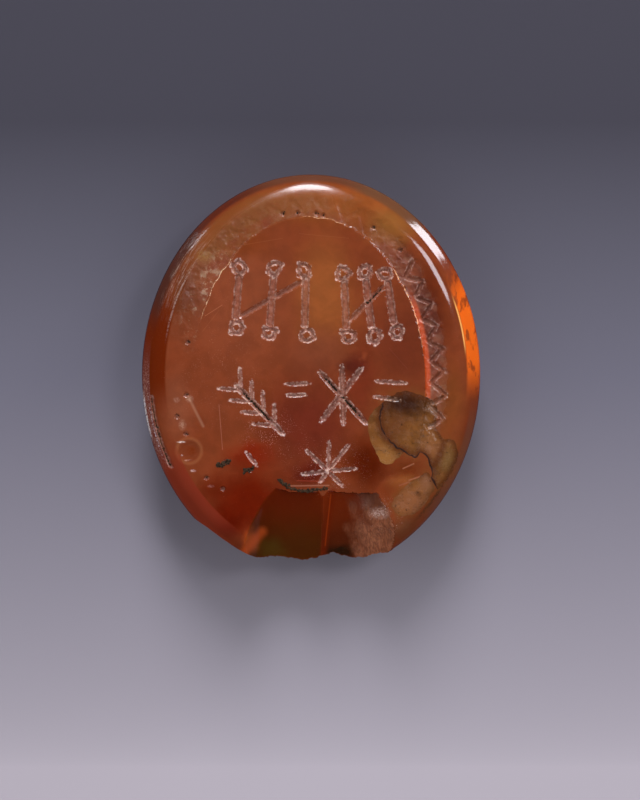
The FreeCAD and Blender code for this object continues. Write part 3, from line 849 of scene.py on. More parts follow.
class GraverPass:
    """The tree that runs one tool along its strokes over a sheet."""

    NAME = "graver_pass"
    INPUTS = (
        ("Strokes", "NodeSocketObject"), ("Width", "NodeSocketFloat"), ("Floor", "NodeSocketFloat"),
        ("Depth", "NodeSocketFloat"), ("Wobble", "NodeSocketFloat"), ("Chipping", "NodeSocketFloat"),
        ("Frosting", "NodeSocketFloat"), ("Grain", "NodeSocketFloat"), ("Seed", "NodeSocketFloat"),
        ("Mark", "NodeSocketString"), ("Finish", "NodeSocketMaterial"),
    )

    def __init__(self) -> None:
        """Builds the tree once."""
        self.tree = new_tree(self.NAME, self.INPUTS)
        self.wire(Wiring(self.tree))

    def wire(self, w: Wiring) -> None:
        """Adds the nodes: distance to the strokes, depth of the cut, and the marks it leaves.

        Args:
            w: The wiring of the tree.
        """
        given = w.add("NodeGroupInput").outputs
        flat = w.vector("MULTIPLY", w.add("GeometryNodeInputPosition").outputs[0], FLAT)
        seeded = w.vector("ADD", flat, w.vector("SCALE", (0.31, 0.17, 0.23), given["Seed"]))
        sway = w.vector("SCALE", w.sway(seeded, 0.30, 3.0, 0.6), given["Wobble"])
        near = w.add("GeometryNodeProximity", target_element="EDGES")
        strokes = w.add("GeometryNodeObjectInfo", {"Object": given["Strokes"]}, transform_space="ORIGINAL")
        w.feed(near.inputs[0], strokes.outputs["Geometry"])
        swayed = w.vector("ADD", flat, w.vector("MULTIPLY", sway, (2.0, 2.0, 0.0)))
        w.feed(near.inputs["Sample Position"], swayed)
        distance = near.outputs["Distance"]
        half = w.math("MULTIPLY", given["Width"], 0.5)
        wall = w.math("MULTIPLY", w.math("SUBTRACT", given["Width"], given["Floor"]), 0.5)
        share = w.rise(w.math("DIVIDE", w.math("SUBTRACT", half, distance), wall, clamp=True), 0.0, 1.0)
        lumps = w.math("SUBTRACT", w.noise(seeded, 0.22, 4.0, 0.65), 0.5)
        uneven = w.math("ADD", 1.0, w.both(lumps, given["Chipping"], 2.0))
        depth = w.both(share, uneven, given["Depth"])
        old = w.stored(given["Mark"])
        deepest = w.math("MAXIMUM", old, depth)
        drop = w.add("ShaderNodeCombineXYZ", {"Z": w.math("SUBTRACT", old, deepest)}).outputs[0]
        moved = w.add("GeometryNodeSetPosition", {"Geometry": given["Geometry"], "Offset": drop}).outputs[0]
        marked = w.store(moved, given["Mark"], deepest)
        from_edge = w.math("ABSOLUTE", w.math("SUBTRACT", distance, w.math("MULTIPLY", half, 0.86)))
        edge = w.math("SUBTRACT", 1.0, w.math("DIVIDE", from_edge, 0.05 * MM), clamp=True)
        broken = w.spots(seeded, 0.15, 3.0, 0.7, 0.42, 0.60, 0.10, 1.0)
        bed = w.both(share, given["Grain"],
                     w.spots(seeded, 0.09, 3.0, 0.7, 0.35, 0.70, 0.2, 1.0))
        frost = w.both(w.math("MAXIMUM", w.both(edge, broken), bed), given["Frosting"])
        frost = w.math("MAXIMUM", w.stored(Mark.FROST.value), frost)
        w.end_tree(w.store(marked, Mark.FROST.value, frost), given["Finish"])

    def run(self, sheet: bpy.types.Object, graver: Graver, runs: Sequence[np.ndarray],
            finish: bpy.types.Material) -> None:
        """Cuts one tool's strokes into the sheet and applies the result.

        Args:
            sheet: The sheet's object.
            graver: The tool.
            runs: The strokes, each a line of points in plan.
            finish: The sheet's material.
        """
        strokes = strokes_object(graver, runs)
        modifier = sheet.modifiers.new(graver.name, "NODES")
        modifier.node_group = self.tree
        values = {
            "Strokes": strokes, "Width": graver.width * MM, "Floor": graver.floor * MM,
            "Depth": graver.depth * MM, "Wobble": graver.wobble * MM, "Chipping": graver.chipping,
            "Frosting": graver.frosting, "Grain": graver.grain, "Seed": graver.seed,
            "Mark": graver.mark.value, "Finish": finish,
        }
        set_inputs(modifier, values)
        settle(sheet)
        bpy.data.objects.remove(strokes)
        log.info("cut %s: %d strokes", graver.name, len(runs))


def new_tree(name: str, inputs: Sequence[Tuple[str, str]]) -> bpy.types.NodeTree:
    """A geometry tree with those inputs besides the geometry itself."""
    tree = bpy.data.node_groups.new(name, "GeometryNodeTree")
    tree.interface.new_socket("Geometry", in_out="INPUT", socket_type="NodeSocketGeometry")
    for socket, kind in inputs:
        tree.interface.new_socket(socket, in_out="INPUT", socket_type=kind)
    tree.interface.new_socket("Geometry", in_out="OUTPUT", socket_type="NodeSocketGeometry")
    return tree


def set_inputs(modifier: bpy.types.Modifier, values: Dict[str, object]) -> None:
    """Sets a tree's inputs on a modifier by their identifiers."""
    for item in modifier.node_group.interface.items_tree:
        if item.item_type == "SOCKET" and item.in_out == "INPUT" and item.name in values:
            modifier[item.identifier] = values[item.name]


def settle(piece: bpy.types.Object) -> None:
    """Turns a piece's modifiers into plain mesh and removes them."""
    bpy.context.view_layer.update()
    graph = bpy.context.evaluated_depsgraph_get()
    mesh = bpy.data.meshes.new_from_object(piece.evaluated_get(graph))
    old = piece.data
    piece.modifiers.clear()
    piece.data = mesh
    mesh.name = piece.name
    bpy.data.meshes.remove(old)


def new_object(name: str, mesh: bpy.types.Mesh) -> bpy.types.Object:
    """An object for a mesh, in the scene."""
    piece = bpy.data.objects.new(name, mesh)
    bpy.context.scene.collection.objects.link(piece)
    return piece


def strokes_object(graver: Graver, runs: Sequence[np.ndarray]) -> bpy.types.Object:
    """A mesh of bare edges for a tool to follow. A tapering tool's strokes rise at both ends.

    Args:
        graver: The tool.
        runs: Lines of points in plan.

    Returns:
        The object, which is removed after its pass.
    """
    places: List[Tuple[float, float, float]] = []
    edges: List[Tuple[int, int]] = []
    for run in runs:
        lifts = [0.0] * len(run)
        if graver.taper and len(run) == 2:
            start, end = run
            share = min(graver.taper_run / float(np.linalg.norm(end - start)), 0.45)
            run = np.array([start, start + (end - start) * share, end + (start - end) * share, end])
            lifts = [graver.taper, 0.0, 0.0, graver.taper]
        first = len(places)
        places += [(float(x) * MM, float(y) * MM, lift * MM) for (x, y), lift in zip(run, lifts)]
        edges += [(first + k, first + k + 1) for k in range(len(run) - 1)]
    mesh = bpy.data.meshes.new(graver.name)
    mesh.from_pydata(places, edges, [])
    return new_object(graver.name, mesh)


class DirtPacking:
    """The tree that packs crumbs of dirt at a mesh's points."""

    NAME = "dirt_packing"
    INPUTS = (("Crumb", "NodeSocketFloat"), ("Lumps", "NodeSocketFloat"), ("Seed", "NodeSocketInt"),
              ("Finish", "NodeSocketMaterial"))

    def __init__(self) -> None:
        """Builds the tree once."""
        self.tree = new_tree(self.NAME, self.INPUTS)
        w = Wiring(self.tree)
        given = w.add("NodeGroupInput").outputs
        crumb = w.add("GeometryNodeMeshIcoSphere", {"Subdivisions": 2, "Radius": given["Crumb"]})
        feeds = {"Points": given["Geometry"], "Instance": crumb.outputs["Mesh"]}
        placed = w.add("GeometryNodeInstanceOnPoints", feeds)
        for name, low, high in (("Rotation", (0.0, 0.0, 0.0), (0.0, 0.0, FULL_TURN)),
                                ("Scale", (0.5, 0.5, 0.4), (1.5, 1.1, 0.8))):
            draw = w.add("FunctionNodeRandomValue", {"Min": low, "Max": high, "Seed": given["Seed"]},
                         data_type="FLOAT_VECTOR")
            w.feed(placed.inputs[name], draw.outputs[0])
        real = w.add("GeometryNodeRealizeInstances", {"Geometry": placed.outputs[0]}).outputs[0]
        sway = w.sway(w.add("GeometryNodeInputPosition").outputs[0], 0.08, 2.0, 0.6)
        feeds = {"Geometry": real, "Offset": w.vector("SCALE", sway, given["Lumps"])}
        w.end_tree(w.add("GeometryNodeSetPosition", feeds).outputs[0], given["Finish"])


@dataclass(frozen=True)
class DirtFill:
    """Dirt that fills a line or a few places, made of crumbs that lie on the cut sheet."""

    name: str
    nodes: Tuple[str, ...]
    lines: Tuple[Tuple[Point, ...], ...]
    crumb: float = 0.055
    spacing: float = 0.05
    spread: float = 0.025
    lift: float = -0.01
    crowd: int = 1
    seed: int = 1

    def points(self, sheet: np.ndarray) -> np.ndarray:
        """The crumbs' places on the sheet.

        Args:
            sheet: The points of the cut sheet, in metres.

        Returns:
            One place for each crumb, in metres.
        """
        draw = np.random.default_rng(self.seed)
        found = []
        for line in self.lines:
            given = np.array(line)
            steps = np.linalg.norm(np.diff(given, axis=0), axis=1)
            travelled = np.concatenate([[0], np.cumsum(steps)])
            count = max(1, int(travelled[-1] / self.spacing)) * self.crowd
            shares = draw.uniform(0, travelled[-1], count)
            along = np.column_stack([np.interp(shares, travelled, given[:, k]) for k in (0, 1)])
            found.append(along + draw.normal(0, self.spread, along.shape))
        plan = np.vstack(found) * MM
        nearest = [int(np.argmin(np.hypot(sheet[:, 0] - x, sheet[:, 1] - y))) for x, y in plan]
        return np.column_stack([plan, sheet[nearest, 2] + self.lift * MM])

    def build(self, packing: DirtPacking, sheet: np.ndarray, finish: bpy.types.Material) -> bpy.types.Object:
        """The fill as a plain mesh piece."""
        piece = new_object(self.name, mesh_from(self.name, self.points(sheet), []))
        modifier = piece.modifiers.new("packing", "NODES")
        modifier.node_group = packing.tree
        set_inputs(modifier, {"Crumb": self.crumb * MM, "Lumps": 0.05 * MM, "Seed": self.seed,
                              "Finish": finish})
        settle(piece)
        return piece


@dataclass
class Plan:
    """Triangles in plan, with the numbers of the outline's and the break's points."""

    places: np.ndarray
    triangles: np.ndarray
    outline: List[int]
    foot: List[int]


@dataclass
class StonePlan:
    """Lays the triangles of the stone's front and back in plan."""

    blank: OvalBlank
    foot: BrokenFoot
    coarse: float = 0.288

    def boundary(self) -> Tuple[np.ndarray, np.ndarray]:
        """The oval part of the outline, and the break's line.

        Returns:
            The oval part's points from the break's right end round to its left end, and the break's
            points from left to right. Both hold both ends.
        """
        oval = self.blank.outline()
        line = self.foot.line(oval)
        left, right = oval.turn(line[[0, -1]]) % FULL_TURN
        turns = np.linspace(right - FULL_TURN, left, self.blank.ring_points)
        arc = oval.points(turns)
        arc[0], arc[-1] = line[-1], line[0]
        return arc, line

    def above_break(self, places: np.ndarray, line: np.ndarray, room: float) -> np.ndarray:
        """Which points lie above the break's line by at least that much."""
        edge = np.interp(places[:, 0], line[:, 0], line[:, 1], left=-99.0, right=-99.0)
        return places[:, 1] > edge + room

    def rings(self, rows: np.ndarray, line: np.ndarray) -> List[np.ndarray]:
        """The rings of a section, cut off at the break.

        Args:
            rows: The section's insets and heights.
            line: The break's line.

        Returns:
            Open lines of points.
        """
        turns = np.linspace(-math.pi / 2, 1.5 * math.pi, self.blank.ring_points, endpoint=False)
        found = []
        for inset in rows[1:, 0]:
            ring = self.blank.outline(inset).points(turns)
            kept = self.above_break(ring, line, 0.04)
            start = int(np.argmax(~kept))
            order = np.roll(np.arange(len(ring)), -start)
            order = order[kept[order]]
            found.append(ring[order])
        return found

    def graded(self, closeness: Callable[[np.ndarray], np.ndarray], levels: int) -> np.ndarray:
        """Points that stand closer together near what is engraved.

        Args:
            closeness: Gives each point its distance to the nearest thing that needs fine triangles.
            levels: How often a square may be quartered.

        Returns:
            The middles of the squares.
        """
        size = self.coarse
        across = np.arange(-self.blank.half_width, self.blank.half_width + size, size)
        up = np.arange(-self.blank.half_height, self.blank.half_height + size, size)
        squares = np.array([(x, y) for x in across for y in up])
        done = []
        for _ in range(levels):
            near = closeness(squares) < size * 0.9
            done.append(squares[~near])
            size /= 2
            quarter = np.array([(-1, -1), (-1, 1), (1, -1), (1, 1)]) * size / 2
            squares = (squares[near][:, None, :] + quarter[None]).reshape(-1, 2)
        return np.vstack(done + [squares])

    def lay(self, rows: np.ndarray, filling: np.ndarray, extra: Sequence[Tuple[np.ndarray, bool]],
            room: float) -> Plan:
        """Joins the boundary, the rings, the kept lines and the filling into triangles.

        Args:
            rows: The section's insets and heights.
            filling: Points inside.
            extra: More lines that the triangles must keep, each with whether it is closed.
            room: How far the filling keeps from the last ring and from the break.

        Returns:
            The plan.
        """
        arc, line = self.boundary()
        border = np.vstack([arc, line[1:-1]])
        last = rows[-1, 0]
        held = (self.blank.inset(filling) > last + room) & self.above_break(filling, line, room)
        filling = filling[held]
        for chain, _ in extra:
            runs = np.hstack([chain[:-1], chain[1:]])
            filling = filling[gap_to_runs(filling, runs) > 0.018]
        stack = [border, filling]
        count = len(border) + len(filling)
        edges = [(k, (k + 1) % len(border)) for k in range(len(border))]
        for chain, closed in [(ring, False) for ring in self.rings(rows, line)] + list(extra):
            steps = np.linalg.norm(np.diff(chain, axis=0), axis=1)
            edges += [(count + k, count + k + 1) for k in range(len(chain) - 1) if steps[k] < 0.5]
            if closed:
                edges.append((count + len(chain) - 1, count))
            stack.append(chain)
            count += len(chain)
        given = np.vstack(stack)
        found = delaunay_2d_cdt([Vector(place) for place in given], edges, [], 0, 1e-6, True)
        places = np.array([tuple(place) for place in found[0]])
        triangles = np.array([face for face in found[2] if len(face) == 3])
        number = {source: k for k, sources in enumerate(found[3]) for source in sources}
        middles = places[triangles].mean(axis=1)
        kept = inside(middles, border)
        outline = [number[k] for k in range(len(arc))]
        foot = [outline[-1]] + [number[k] for k in range(len(arc), len(border))] + [outline[0]]
        return Plan(places, triangles[kept], outline, foot)


def mesh_from(name: str, places: np.ndarray, faces: Sequence[Sequence[int]],
              marks: Optional[Dict[str, np.ndarray]] = None) -> bpy.types.Mesh:
    """A mesh from points in metres, with numbers that it carries at its points.

    Args:
        name: The mesh's name.
        places: The points.
        faces: The faces' corners.
        marks: Values for each point, by attribute name.

    Returns:
        The mesh.
    """
    mesh = bpy.data.meshes.new(name)
    points = [tuple(map(float, place)) for place in places]
    mesh.from_pydata(points, [], [tuple(map(int, face)) for face in faces])
    for mark, values in (marks or {}).items():
        layer = mesh.attributes.new(mark, "FLOAT", "POINT")
        layer.data.foreach_set("value", np.asarray(values, np.float32))
    return mesh


def closed_up(mesh: bpy.types.Mesh) -> None:
    """Merges a solid's meeting points, drops the loose ones and turns its faces outward."""
    work = bmesh.new()
    work.from_mesh(mesh)
    bmesh.ops.remove_doubles(work, verts=work.verts, dist=MERGE_DISTANCE)
    bmesh.ops.dissolve_degenerate(work, dist=SMALLEST_EDGE, edges=work.edges)
    loose = [vert for vert in work.verts if not vert.link_faces]
    bmesh.ops.delete(work, geom=loose, context="VERTS")
    bmesh.ops.recalc_face_normals(work, faces=work.faces)
    for face in work.faces:
        face.smooth = True
    for edge in work.edges:
        edge.smooth = edge.calc_face_angle(0.0) < math.radians(SHARP_DEG)
    work.to_mesh(mesh)
    work.free()


def border_loops(triangles: np.ndarray) -> List[List[int]]:
    """The closed loops that bound a set of triangles, in the triangles' own direction.

    Args:
        triangles: The triangles' corners.

    Returns:
        Each loop as a list of point numbers.
    """
    sides = set()
    for a, b, c in triangles.tolist():
        sides.update(((a, b), (b, c), (c, a)))
    following: Dict[int, List[int]] = {}
    for a, b in sides:
        if (b, a) not in sides:
            following.setdefault(a, []).append(b)
    loops = []
    while following:
        start = next(iter(following))
        loop = [start]
        while True:
            ends = following[loop[-1]]
            step = ends.pop()
            if not ends:
                del following[loop[-1]]
            if step == start:
                break
            loop.append(step)
        loops.append(loop)
    return loops


@dataclass
class EngravedStone:
    """The stone's solids: cuts the front sheet, then closes the stone and the bodies that grew in it."""

    blank: OvalBlank = field(default_factory=OvalBlank)
    foot: BrokenFoot = field(default_factory=BrokenFoot)
    border: Border = field(default_factory=Border)
    signs: SignField = field(default_factory=SignField)
    minerals: PaleMinerals = field(default_factory=PaleMinerals)
    wear: Wear = field(default_factory=Wear)
    fine_levels: int = 3
    wall_rows: int = 16
    wall_roughness: float = 0.09
    wall_fade: float = 1.2
    channel_wall: float = -0.54
    channel_line: float = -0.29
    blend_line: float = 0.06
    halo_width: float = 0.22
    front_room: float = 0.02
    back_room: float = 0.12
    back_spacing: float = 0.45
    scar_play: float = 0.02
    back_reach: float = 3.0

    def run_along(self, places: np.ndarray) -> np.ndarray:
        """About how far round the border each point lies, in millimetres."""
        middle = self.border.middle
        return (middle.turn(places) % FULL_TURN) * (middle.half_width + middle.half_height) / 2

    def front_height(self, places: np.ndarray) -> Tuple[np.ndarray, np.ndarray]:
        """The height of the uncut front, and the number of the scar that lowers it.

        Args:
            places: The points in plan.

        Returns:
            One height and one scar number for each point.
        """
        rows, _ = self.blank.section()
        height = np.interp(self.blank.inset(places), rows[:, 0], rows[:, 1])
        worn = np.clip(self.blank.inset(places) / 0.3, 0, 1)
        height = height - 0.006 * worn * (1 + ripple(places, 2.6, 61))
        floor, which = self.foot.floor(places, self.blank.thickness)
        lowered = floor < height
        return np.where(lowered, floor, height), np.where(lowered, which, 0)

    def back_height(self, places: np.ndarray) -> np.ndarray:
        """The height of the back over each point."""
        _, rows = self.blank.section()
        return np.interp(self.blank.inset(places), rows[:, 0], rows[:, 1])

    def closeness(self, places: np.ndarray) -> np.ndarray:
        """The distance from each point to the nearest edge or floor that needs fine triangles."""
        near = np.full(len(places), np.inf)
        tools = ((self.signs.bars(), 0.20), (self.signs.rings(), 0.15), (self.signs.slashes(), 0.16),
                 (self.signs.fine(), 0.11), (self.border.zigzag_runs(), 0.14), (self.wear.pit_runs(), 0.14),
                 ([self.wear.dot(self.wear.hollow)], 0.5))
        for runs, half in tools:
            near = np.minimum(near, gap_to_runs(places, np.array([run.ravel() for run in runs])) - half)
        turn = np.degrees(self.border.middle.turn(places)) % 360.0
        reach = self.border.middle.reach(places)
        past = (turn - self.border.start_deg + 4) % 360.0
        held = past < self.border.end_deg - self.border.start_deg + 8
        walls = np.abs(reach - self.channel_wall) - 0.10
        near = np.where(held, np.minimum(near, walls), near)
        ledge = np.array(self.foot.ledge)
        drop = places[:, 1] - np.interp(places[:, 0], ledge[:, 0], ledge[:, 1])
        near = np.minimum(near, np.abs(drop) - 0.06 + 5 * (np.abs(places[:, 0]) > 3.6))
        scarred = (drop < 0) & (np.abs(places[:, 0]) < 4.2)
        near = np.where(scarred, np.minimum(near, 0.1), near)
        return np.maximum(near, 0)

    def sheet(self, finish: bpy.types.Material) -> bpy.types.Object:
        """The engraved front sheet, with its marks.

        Args:
            finish: The stone's material.

        Returns:
            The sheet's object, whose mesh also holds each triangle's corners in order.
        """
        rows, back_rows = self.blank.section()
        layout = StonePlan(self.blank, self.foot)
        filling = layout.graded(self.closeness, self.fine_levels)
        filling = filling + 0.004 * np.column_stack([ripple(filling, 0.11, 71), ripple(filling, 0.11, 72)])
        extra = self.minerals.lines()
        self.front_plan = layout.lay(rows, filling, extra, self.front_room)
        step = self.back_spacing
        coarse = np.array([(x, y) for x in np.arange(-7, 7, step) for y in np.arange(-8.4, 8.4, step)])
        self.back_plan = layout.lay(back_rows, coarse, [], self.back_room)
        places = self.front_plan.places
        height, scar = self.front_height(places)
        outlines = self.minerals.outlines()
        near_tan = np.full(len(places), np.inf)
        for region in (Region.MAIN_BODY, Region.RIGHT_LOBE, Region.LOWER_PATCH):
            outline = outlines[region]
            runs = np.hstack([outline, np.roll(outline, -1, axis=0)])
            near_tan = np.minimum(near_tan, gap_to_runs(places, runs))
        zeros = np.zeros(len(places))
        marks = {
            Mark.CHANNEL.value: zeros, Mark.CUT.value: zeros, Mark.FROST.value: zeros,
            Mark.INSET.value: self.blank.inset(places), Mark.REACH.value: self.border.middle.reach(places),
            Mark.RUN.value: self.run_along(places),
            Mark.SCAR.value: scar, Mark.ROUGH.value: self.foot.sugary(places) * (scar > 0),
            Mark.HALO.value: np.exp(-near_tan / self.halo_width),
        }
        solid = np.column_stack([places, height]) * MM
        mesh = mesh_from("front_sheet", solid, self.front_plan.triangles, marks)
        sheet = new_object("front_sheet", mesh)
        log.info("front sheet: %d points, %d triangles", len(places), len(self.front_plan.triangles))
        graver_pass = GraverPass()
        border = self.border
        zigzag = [run for run in border.zigzag_runs() if not border.lies_in(run, border.lost_range_deg)]
        for graver, runs in (
            (CHANNEL_GRAVER, [self.border.line_at(self.channel_line)]),
            (BLEND_GRAVER, [self.border.line_at(self.blend_line)]),
            (ZIGZAG_GRAVER, [run for run in zigzag if not border.lies_in(run, border.worn_range_deg)]),
            (WORN_GRAVER, [run for run in zigzag if border.lies_in(run, border.worn_range_deg)]
             + [np.array(self.signs.strays[1])]),
            (BAR_GRAVER, self.signs.bars()),
            (RING_GRAVER, self.signs.rings()),
            (SLASH_GRAVER, self.signs.slashes()[:2]),
            (SIGN_GRAVER, self.signs.slashes()[2:]),
            (FINE_GRAVER, self.signs.fine()),
            (PIT_GRAVER, self.wear.pit_runs()),
            (HOLLOW_GRAVER, [self.wear.dot(self.wear.hollow)]),
            (CRACK_GRAVER, [self.wear.crack_line(self.blank)]),
        ):
            graver_pass.run(sheet, graver, runs, finish)
        return sheet

    def read_sheet(self, sheet: bpy.types.Object) -> None:
        """Keeps the cut sheet's points, marks and regions, and removes its object."""
        mesh = sheet.data
        count = len(mesh.vertices)
        places = np.zeros(count * 3, np.float32)
        mesh.vertices.foreach_get("co", places)
        self.places = places.reshape(-1, 3).astype(float)
        self.marks = {}
        for name in (mark.value for mark in Mark):
            values = np.zeros(count, np.float32)
            mesh.attributes[name].data.foreach_get("value", values)
            self.marks[name] = values
        worn = self.marks[Mark.CHANNEL.value] * self.border.faded(self.places[:, :2] / MM)
        self.places[:, 2] += worn
        self.marks[Mark.CHANNEL.value] -= worn
        low = self.front_height(self.places[:, :2] / MM)[0] * MM
        scarred = self.marks[Mark.SCAR.value] > 0
        self.places[scarred, 2] = np.maximum(low[scarred] - self.scar_play * MM, self.places[scarred, 2])
        for mark in (Mark.CHANNEL, Mark.CUT, Mark.FROST):
            self.marks[mark.value][scarred] = 0
        triangles = self.front_plan.triangles
        middles = self.places[triangles][:, :, :2].mean(axis=1) / MM
        self.regions = np.zeros(len(triangles), int)
        for region, outline in self.minerals.outlines().items():
            free = (self.regions == Region.STONE.value) & inside(middles, outline)
            self.regions[free] = region.value
        bpy.data.objects.remove(sheet)

    def pocket(self, places: np.ndarray, triangles: np.ndarray, first: int,
               ) -> Tuple[np.ndarray, List[Tuple[int, ...]]]:
        """Walls and a floor under a patch of the sheet.

        Args:
            places: All points of the sheet.
            triangles: The patch's triangles.
            first: The number that the first new point gets.

        Returns:
            The new points, and the faces of the walls and the floor, turned away from the patch.
        """
        floor = (self.blank.thickness - self.minerals.depth) * MM
        added: List[np.ndarray] = []
        faces: List[Tuple[int, ...]] = []
        for loop in border_loops(triangles):
            start = first + len(added)
            added += [np.array([*places[k, :2], floor]) for k in loop]
            for k, number in enumerate(loop):
                n = (k + 1) % len(loop)
                faces.append((loop[n], number, start + k, start + n))
            corners = [Vector(place) for place in added[start - first:]]
            for a, b, c in tessellate_polygon([corners]):
                faces.append((start + a, start + b, start + c))
        return np.array(added), faces

    def body(self, name: str, region: Region) -> bpy.types.Object:
        """One closed body that reaches from the sheet down to a flat floor.

        Args:
            name: The piece's name.
            region: The region of the sheet that it shows.

        Returns:
            The piece.
        """
        triangles = self.front_plan.triangles[self.regions == region.value]
        added, faces = self.pocket(self.places, triangles, len(self.places))
        places = np.vstack([self.places, added])
        marks = {name: np.concatenate([values, np.zeros(len(added))]) for name, values in self.marks.items()}
        mesh = mesh_from(name, places, triangles.tolist() + faces, marks)
        closed_up(mesh)
        return new_object(name, mesh)

    def break_wall(self, front: List[int], back: List[int], places: np.ndarray, first: int,
                   ) -> Tuple[np.ndarray, List[Tuple[int, ...]]]:
        """The rough wall of the break, between the front's edge and the back's.

        Args:
            front: The numbers of the front's points along the break.
            back: The numbers of the back's points along the break.
            places: All points so far.
            first: The number that the first new point gets.

        Returns:
            The new points and the wall's faces.
        """
        top, low = places[front], places[back]
        along = np.gradient(top[:, :2], axis=0)
        along /= np.linalg.norm(along, axis=1)[:, None]
        inward = np.column_stack([-along[:, 1], along[:, 0]])
        added = []
        rows = [list(front)]
        for row in range(1, self.wall_rows):
            share = row / self.wall_rows
            line = top * (1 - share) + low * share
            swell = (ripple(line / MM, 1.3, 81) + 0.5 * ripple(line / MM, 0.42, 82) + 1.3) / 2
            taper = math.sin(math.pi * share)
            gap = np.clip(np.linalg.norm(top - low, axis=1) / (self.wall_fade * MM), 0, 1)
            line[:, :2] += inward * (self.wall_roughness * MM * taper * swell * gap)[:, None]
            rows.append(list(range(first + len(added), first + len(added) + len(line))))
            added += list(line)
        rows.append(list(back))
        faces = []
        for upper, lower in zip(rows, rows[1:]):
            for k in range(len(upper) - 1):
                faces.append((upper[k], upper[k + 1], lower[k + 1], lower[k]))
        return np.array(added), faces

    def stone(self) -> bpy.types.Object:
        """The stone itself, with pockets for the bodies that grew in it."""
        back = self.back_plan
        back_heights = self.back_height(back.places)
        front_count = len(self.places)
        places = np.vstack([self.places, np.column_stack([back.places, back_heights]) * MM])
        for front_point, back_point in zip(self.front_plan.outline, back.outline):
            places[front_count + back_point] = places[front_point]
        shown = self.front_plan.triangles[self.regions == Region.STONE.value]
        faces: List[Tuple[int, ...]] = [tuple(face) for face in shown.tolist()]
        faces += [tuple(face[::-1]) for face in (back.triangles + front_count).tolist()]
        wall_back = [front_count + k for k in back.foot]
        wall, wall_faces = self.break_wall(self.front_plan.foot, wall_back, places, len(places))
        places = np.vstack([places, wall])
        faces += wall_faces
        filled = self.front_plan.triangles[self.regions != Region.STONE.value]
        added, pocket_faces = self.pocket(self.places, filled, len(places))
        places = np.vstack([places, added])
        faces += pocket_faces
        extra = len(places) - front_count
        marks = {name: np.concatenate([values, np.zeros(extra)]) for name, values in self.marks.items()}
        marks[Mark.INSET.value][front_count:] = self.blank.inset(places[front_count:, :2] / MM)
        marks[Mark.RUN.value][front_count:] = self.run_along(places[front_count:, :2] / MM)
        marks[Mark.REACH.value][front_count:] = self.back_reach
        foot_mark = np.zeros(len(places))
        foot_mark[len(places) - len(added) - len(wall):len(places) - len(added)] = 1.0
        foot_mark[self.front_plan.foot] = 0.6
        marks[BREAK_WALL] = foot_mark
        mesh = mesh_from("carnelian_body", places, faces, marks)
        closed_up(mesh)
        return new_object("carnelian_body", mesh)


@dataclass(frozen=True)
class Tint:
    """A soft oval patch of one colour in the stone, in millimetres."""

    place: Point
    radii: Point
    colour: str
    strength: float = 1.0
    core: float = 0.15


@dataclass(frozen=True)
class Streak:
    """A thin straight scratch, flaw or glow, in millimetres."""

    start: Point
    end: Point
    width: float
    colour: str
    strength: float = 1.0


@dataclass(frozen=True)
class RimBand:
    """A band of colour along the rim, between two insets and inside a soft oval, in millimetres."""

    start: float
    end: float
    place: Point
    radii: Point
    colour: str
    strength: float = 1.0
    texture: str = "plain"
    soft: float = 0.06
    core: float = 0.4


class StoneWiring(Wiring):
    """Wiring with the masks that the stone's finishes share."""

    def soft_oval(self, where: Value, place: Point, radii: Point, core: float = 0.15,
                  strength: float = 1.0) -> bpy.types.NodeSocket:
        """A mask that falls from its strength in an oval's core to nothing at its edge."""
        offset = self.vector("SUBTRACT", where, (place[0] * MM, place[1] * MM, 0.0))
        scaled = self.vector("MULTIPLY", offset, (1 / (radii[0] * MM), 1 / (radii[1] * MM), 0.0))
        return self.rise(self.vector("LENGTH", scaled), 1.0, core, 0.0, strength)

    def place(self) -> bpy.types.NodeSocket:
        """The place on the object, in metres."""
        return self.add("ShaderNodeTexCoord").outputs["Object"]

    def part(self, where: Value, axis: str) -> bpy.types.NodeSocket:
        """One coordinate of a place."""
        return self.add("ShaderNodeSeparateXYZ", {"Vector": where}).outputs[axis]

    def bump(self, height: Value, strength: float, distance: float) -> bpy.types.NodeSocket:
        """The surface's direction under a small relief, whose full height is given in millimetres."""
        feeds = {"Height": height, "Strength": strength, "Distance": distance * MM}
        return self.add("ShaderNodeBump", feeds).outputs[0]

    def end(self, feeds: Dict[str, Value]) -> None:
        """Ends a material with a surface that has those inputs."""
        surface = self.add("ShaderNodeBsdfPrincipled", feeds).outputs[0]
        self.feed(self.add("ShaderNodeOutputMaterial").inputs["Surface"], surface)

    def tinted(self, colour: Value, where: Value, tints: Sequence[Tint], *masks: Value) -> Value:
        """The colour with every tint laid over it, as far as the masks let it through."""
        for tint in tints:
            oval = self.soft_oval(where, tint.place, tint.radii, tint.core, tint.strength)
            colour = self.mix(self.both(oval, *masks), colour, tint.colour)
        return colour

    def near_line(self, where: Value, streak: Streak) -> bpy.types.NodeSocket:
        """A mask that is full along a straight line and falls to nothing at half its width."""
        along = (Vector(streak.end) - Vector(streak.start)) * MM
        flat = self.vector("MULTIPLY", where, FLAT)
        offset = self.vector("SUBTRACT", flat, (streak.start[0] * MM, streak.start[1] * MM, 0.0))
        run = (along.x, along.y, 0.0)
        share = self.math("DIVIDE", self.vector("DOT_PRODUCT", offset, run), along.length_squared, clamp=True)
        beside = self.vector("LENGTH", self.vector("SUBTRACT", offset, self.vector("SCALE", run, share)))
        return self.rise(beside, streak.width / 2 * MM, 0.0, 0.0, streak.strength)


def new_material(name: str) -> Tuple[bpy.types.Material, StoneWiring]:
    """A material with an empty tree, and the wiring that fills it."""
    made = bpy.data.materials.new(name)
    made.use_nodes = True
    made.node_tree.nodes.clear()
    return made, StoneWiring(made.node_tree)


